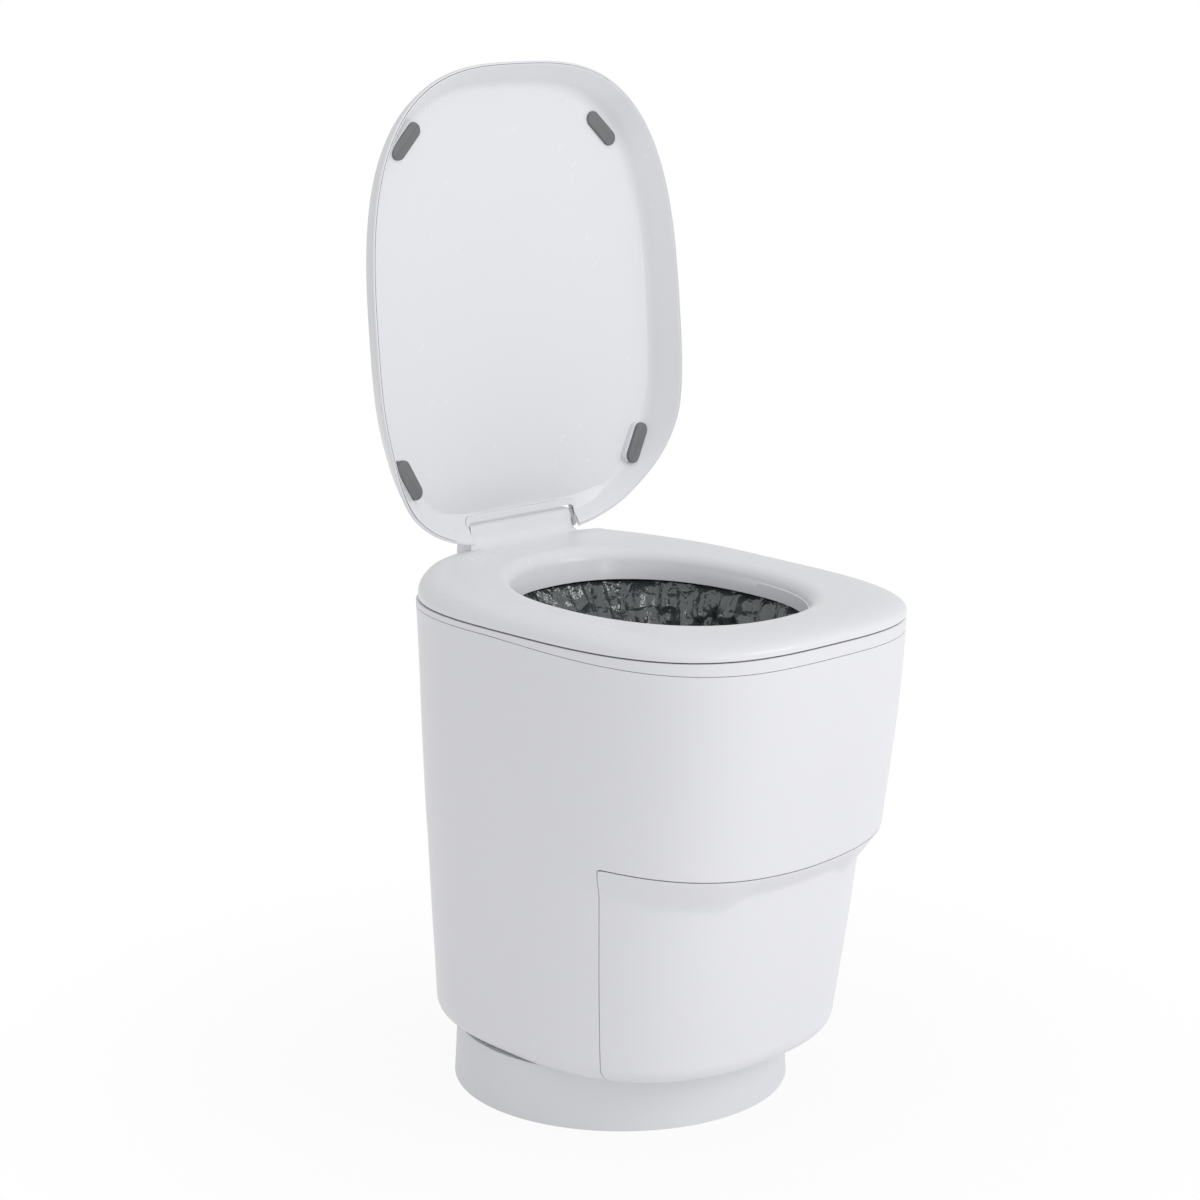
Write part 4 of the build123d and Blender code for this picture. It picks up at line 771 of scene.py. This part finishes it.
for name in nodes:
    fitting = [material for words, material in WORKING_FINISHES if any(word in name for word in words)]
    wear(nodes[name], (fitting + [inner_white])[0])
wear(nodes["base_ring"], plinth_white)

# The floor is a wide white disc that keeps the shadow round the plinth and fades to pure white.
# The camera sees it glow, while light falls on it as on a matt sheet.
FLOOR_RADIUS, FLOOR_Z = 4.0, -0.0002
SHADOW_NEAR, SHADOW_FAR, NEAR_GLOW, FAR_GLOW = 0.16, 0.75, 0.90, 1.0
bpy.ops.mesh.primitive_circle_add(vertices=96, radius=FLOOR_RADIUS, fill_type="NGON", location=(0, 0, FLOOR_Z))
floor = bpy.context.object
floor.name = "floor"
ground = Finish("floor_white", Roughness=0.9)
ground.shader.inputs["Base Color"].default_value = (0.85, 0.85, 0.86, 1)
tree = ground.tree
seen = ground.node("ShaderNodeLightPath", out="Is Camera Ray")
seen = seen + ground.node("ShaderNodeLightPath", out="Is Glossy Ray")
glow = tree.nodes.new("ShaderNodeEmission")
glow.inputs["Color"].default_value = (1, 1, 1, 1)
mixer = tree.nodes.new("ShaderNodeMixShader")
surface = next(n for n in tree.nodes if n.type == "OUTPUT_MATERIAL")
apart = ground.node("ShaderNodeVectorMath", {"operation": "LENGTH"}, {0: ground.place}, out=1)
clear = ground.node(
    "ShaderNodeMapRange",
    {"interpolation_type": "SMOOTHSTEP"},
    {"Value": apart, 1: SHADOW_NEAR, 2: SHADOW_FAR, 3: NEAR_GLOW, 4: FAR_GLOW},
)
tree.links.new((seen * clear).socket, mixer.inputs[0])
tree.links.new(ground.shader.outputs[0], mixer.inputs[1])
tree.links.new(glow.outputs[0], mixer.inputs[2])
tree.links.new(mixer.outputs[0], surface.inputs[0])
floor.data.materials.append(ground.material)

# The camera sees a white world, and the part is lit by a dimmer one.
SKY_COLOUR, SKY_STRENGTH = (0.992, 0.994, 1.0, 1), 0.74
world = bpy.data.worlds.new("studio")
bpy.context.scene.world = world
world.use_nodes = True
sky = world.node_tree
sky.nodes.clear()
path = sky.nodes.new("ShaderNodeLightPath")
dim, bright = sky.nodes.new("ShaderNodeBackground"), sky.nodes.new("ShaderNodeBackground")
dim.inputs[0].default_value, dim.inputs[1].default_value = SKY_COLOUR, SKY_STRENGTH
bright.inputs[0].default_value, bright.inputs[1].default_value = (1, 1, 1, 1), 1.0
pick, end = sky.nodes.new("ShaderNodeMixShader"), sky.nodes.new("ShaderNodeOutputWorld")
sky.links.new(path.outputs["Is Camera Ray"], pick.inputs[0])
sky.links.new(dim.outputs[0], pick.inputs[1])
sky.links.new(bright.outputs[0], pick.inputs[2])
sky.links.new(pick.outputs[0], end.inputs[0])


# Two soft lamps stand in front: a large one on the right, and a small low one on the left.
def soft_lamp(name, place, aim, size, power):
    lamp = bpy.data.lights.new(name, "AREA")
    lamp.shape, lamp.size, lamp.energy = "DISK", size, power
    holder = bpy.data.objects.new(name, lamp)
    bpy.context.scene.collection.objects.link(holder)
    holder.location = place
    holder.rotation_euler = (Vector(aim) - Vector(place)).to_track_quat("-Z", "Y").to_euler()


soft_lamp("key", (1.1, -2.7, 1.9), (0, 0, 0.45), 1.8, 24)
soft_lamp("strip", (-0.88, -2.9, 0.75), (0, 0, 0.60), 0.7, 7)

# The camera looks from the front left and a little above, as the photograph does.
AZIMUTH, ELEVATION, DISTANCE = math.radians(-43.265), math.radians(13.169), 2.714
TARGET = Vector((-0.027, 0.0, 0.46725))
LENS, SENSOR, FAR_CLIP = 87.79, 36.0, 60
level_reach = math.cos(ELEVATION)
back = Vector((math.sin(AZIMUTH) * level_reach, -math.cos(AZIMUTH) * level_reach, math.sin(ELEVATION)))
camera_data = bpy.data.cameras.new("camera")
camera_data.lens, camera_data.sensor_width = LENS, SENSOR
camera_data.clip_end = FAR_CLIP
camera = bpy.data.objects.new("camera", camera_data)
bpy.context.scene.collection.objects.link(camera)
camera.location = TARGET + back * DISTANCE
camera.rotation_euler = back.to_track_quat("Z", "Y").to_euler()
bpy.context.scene.camera = camera
bpy.context.scene.view_settings.view_transform = "Standard"
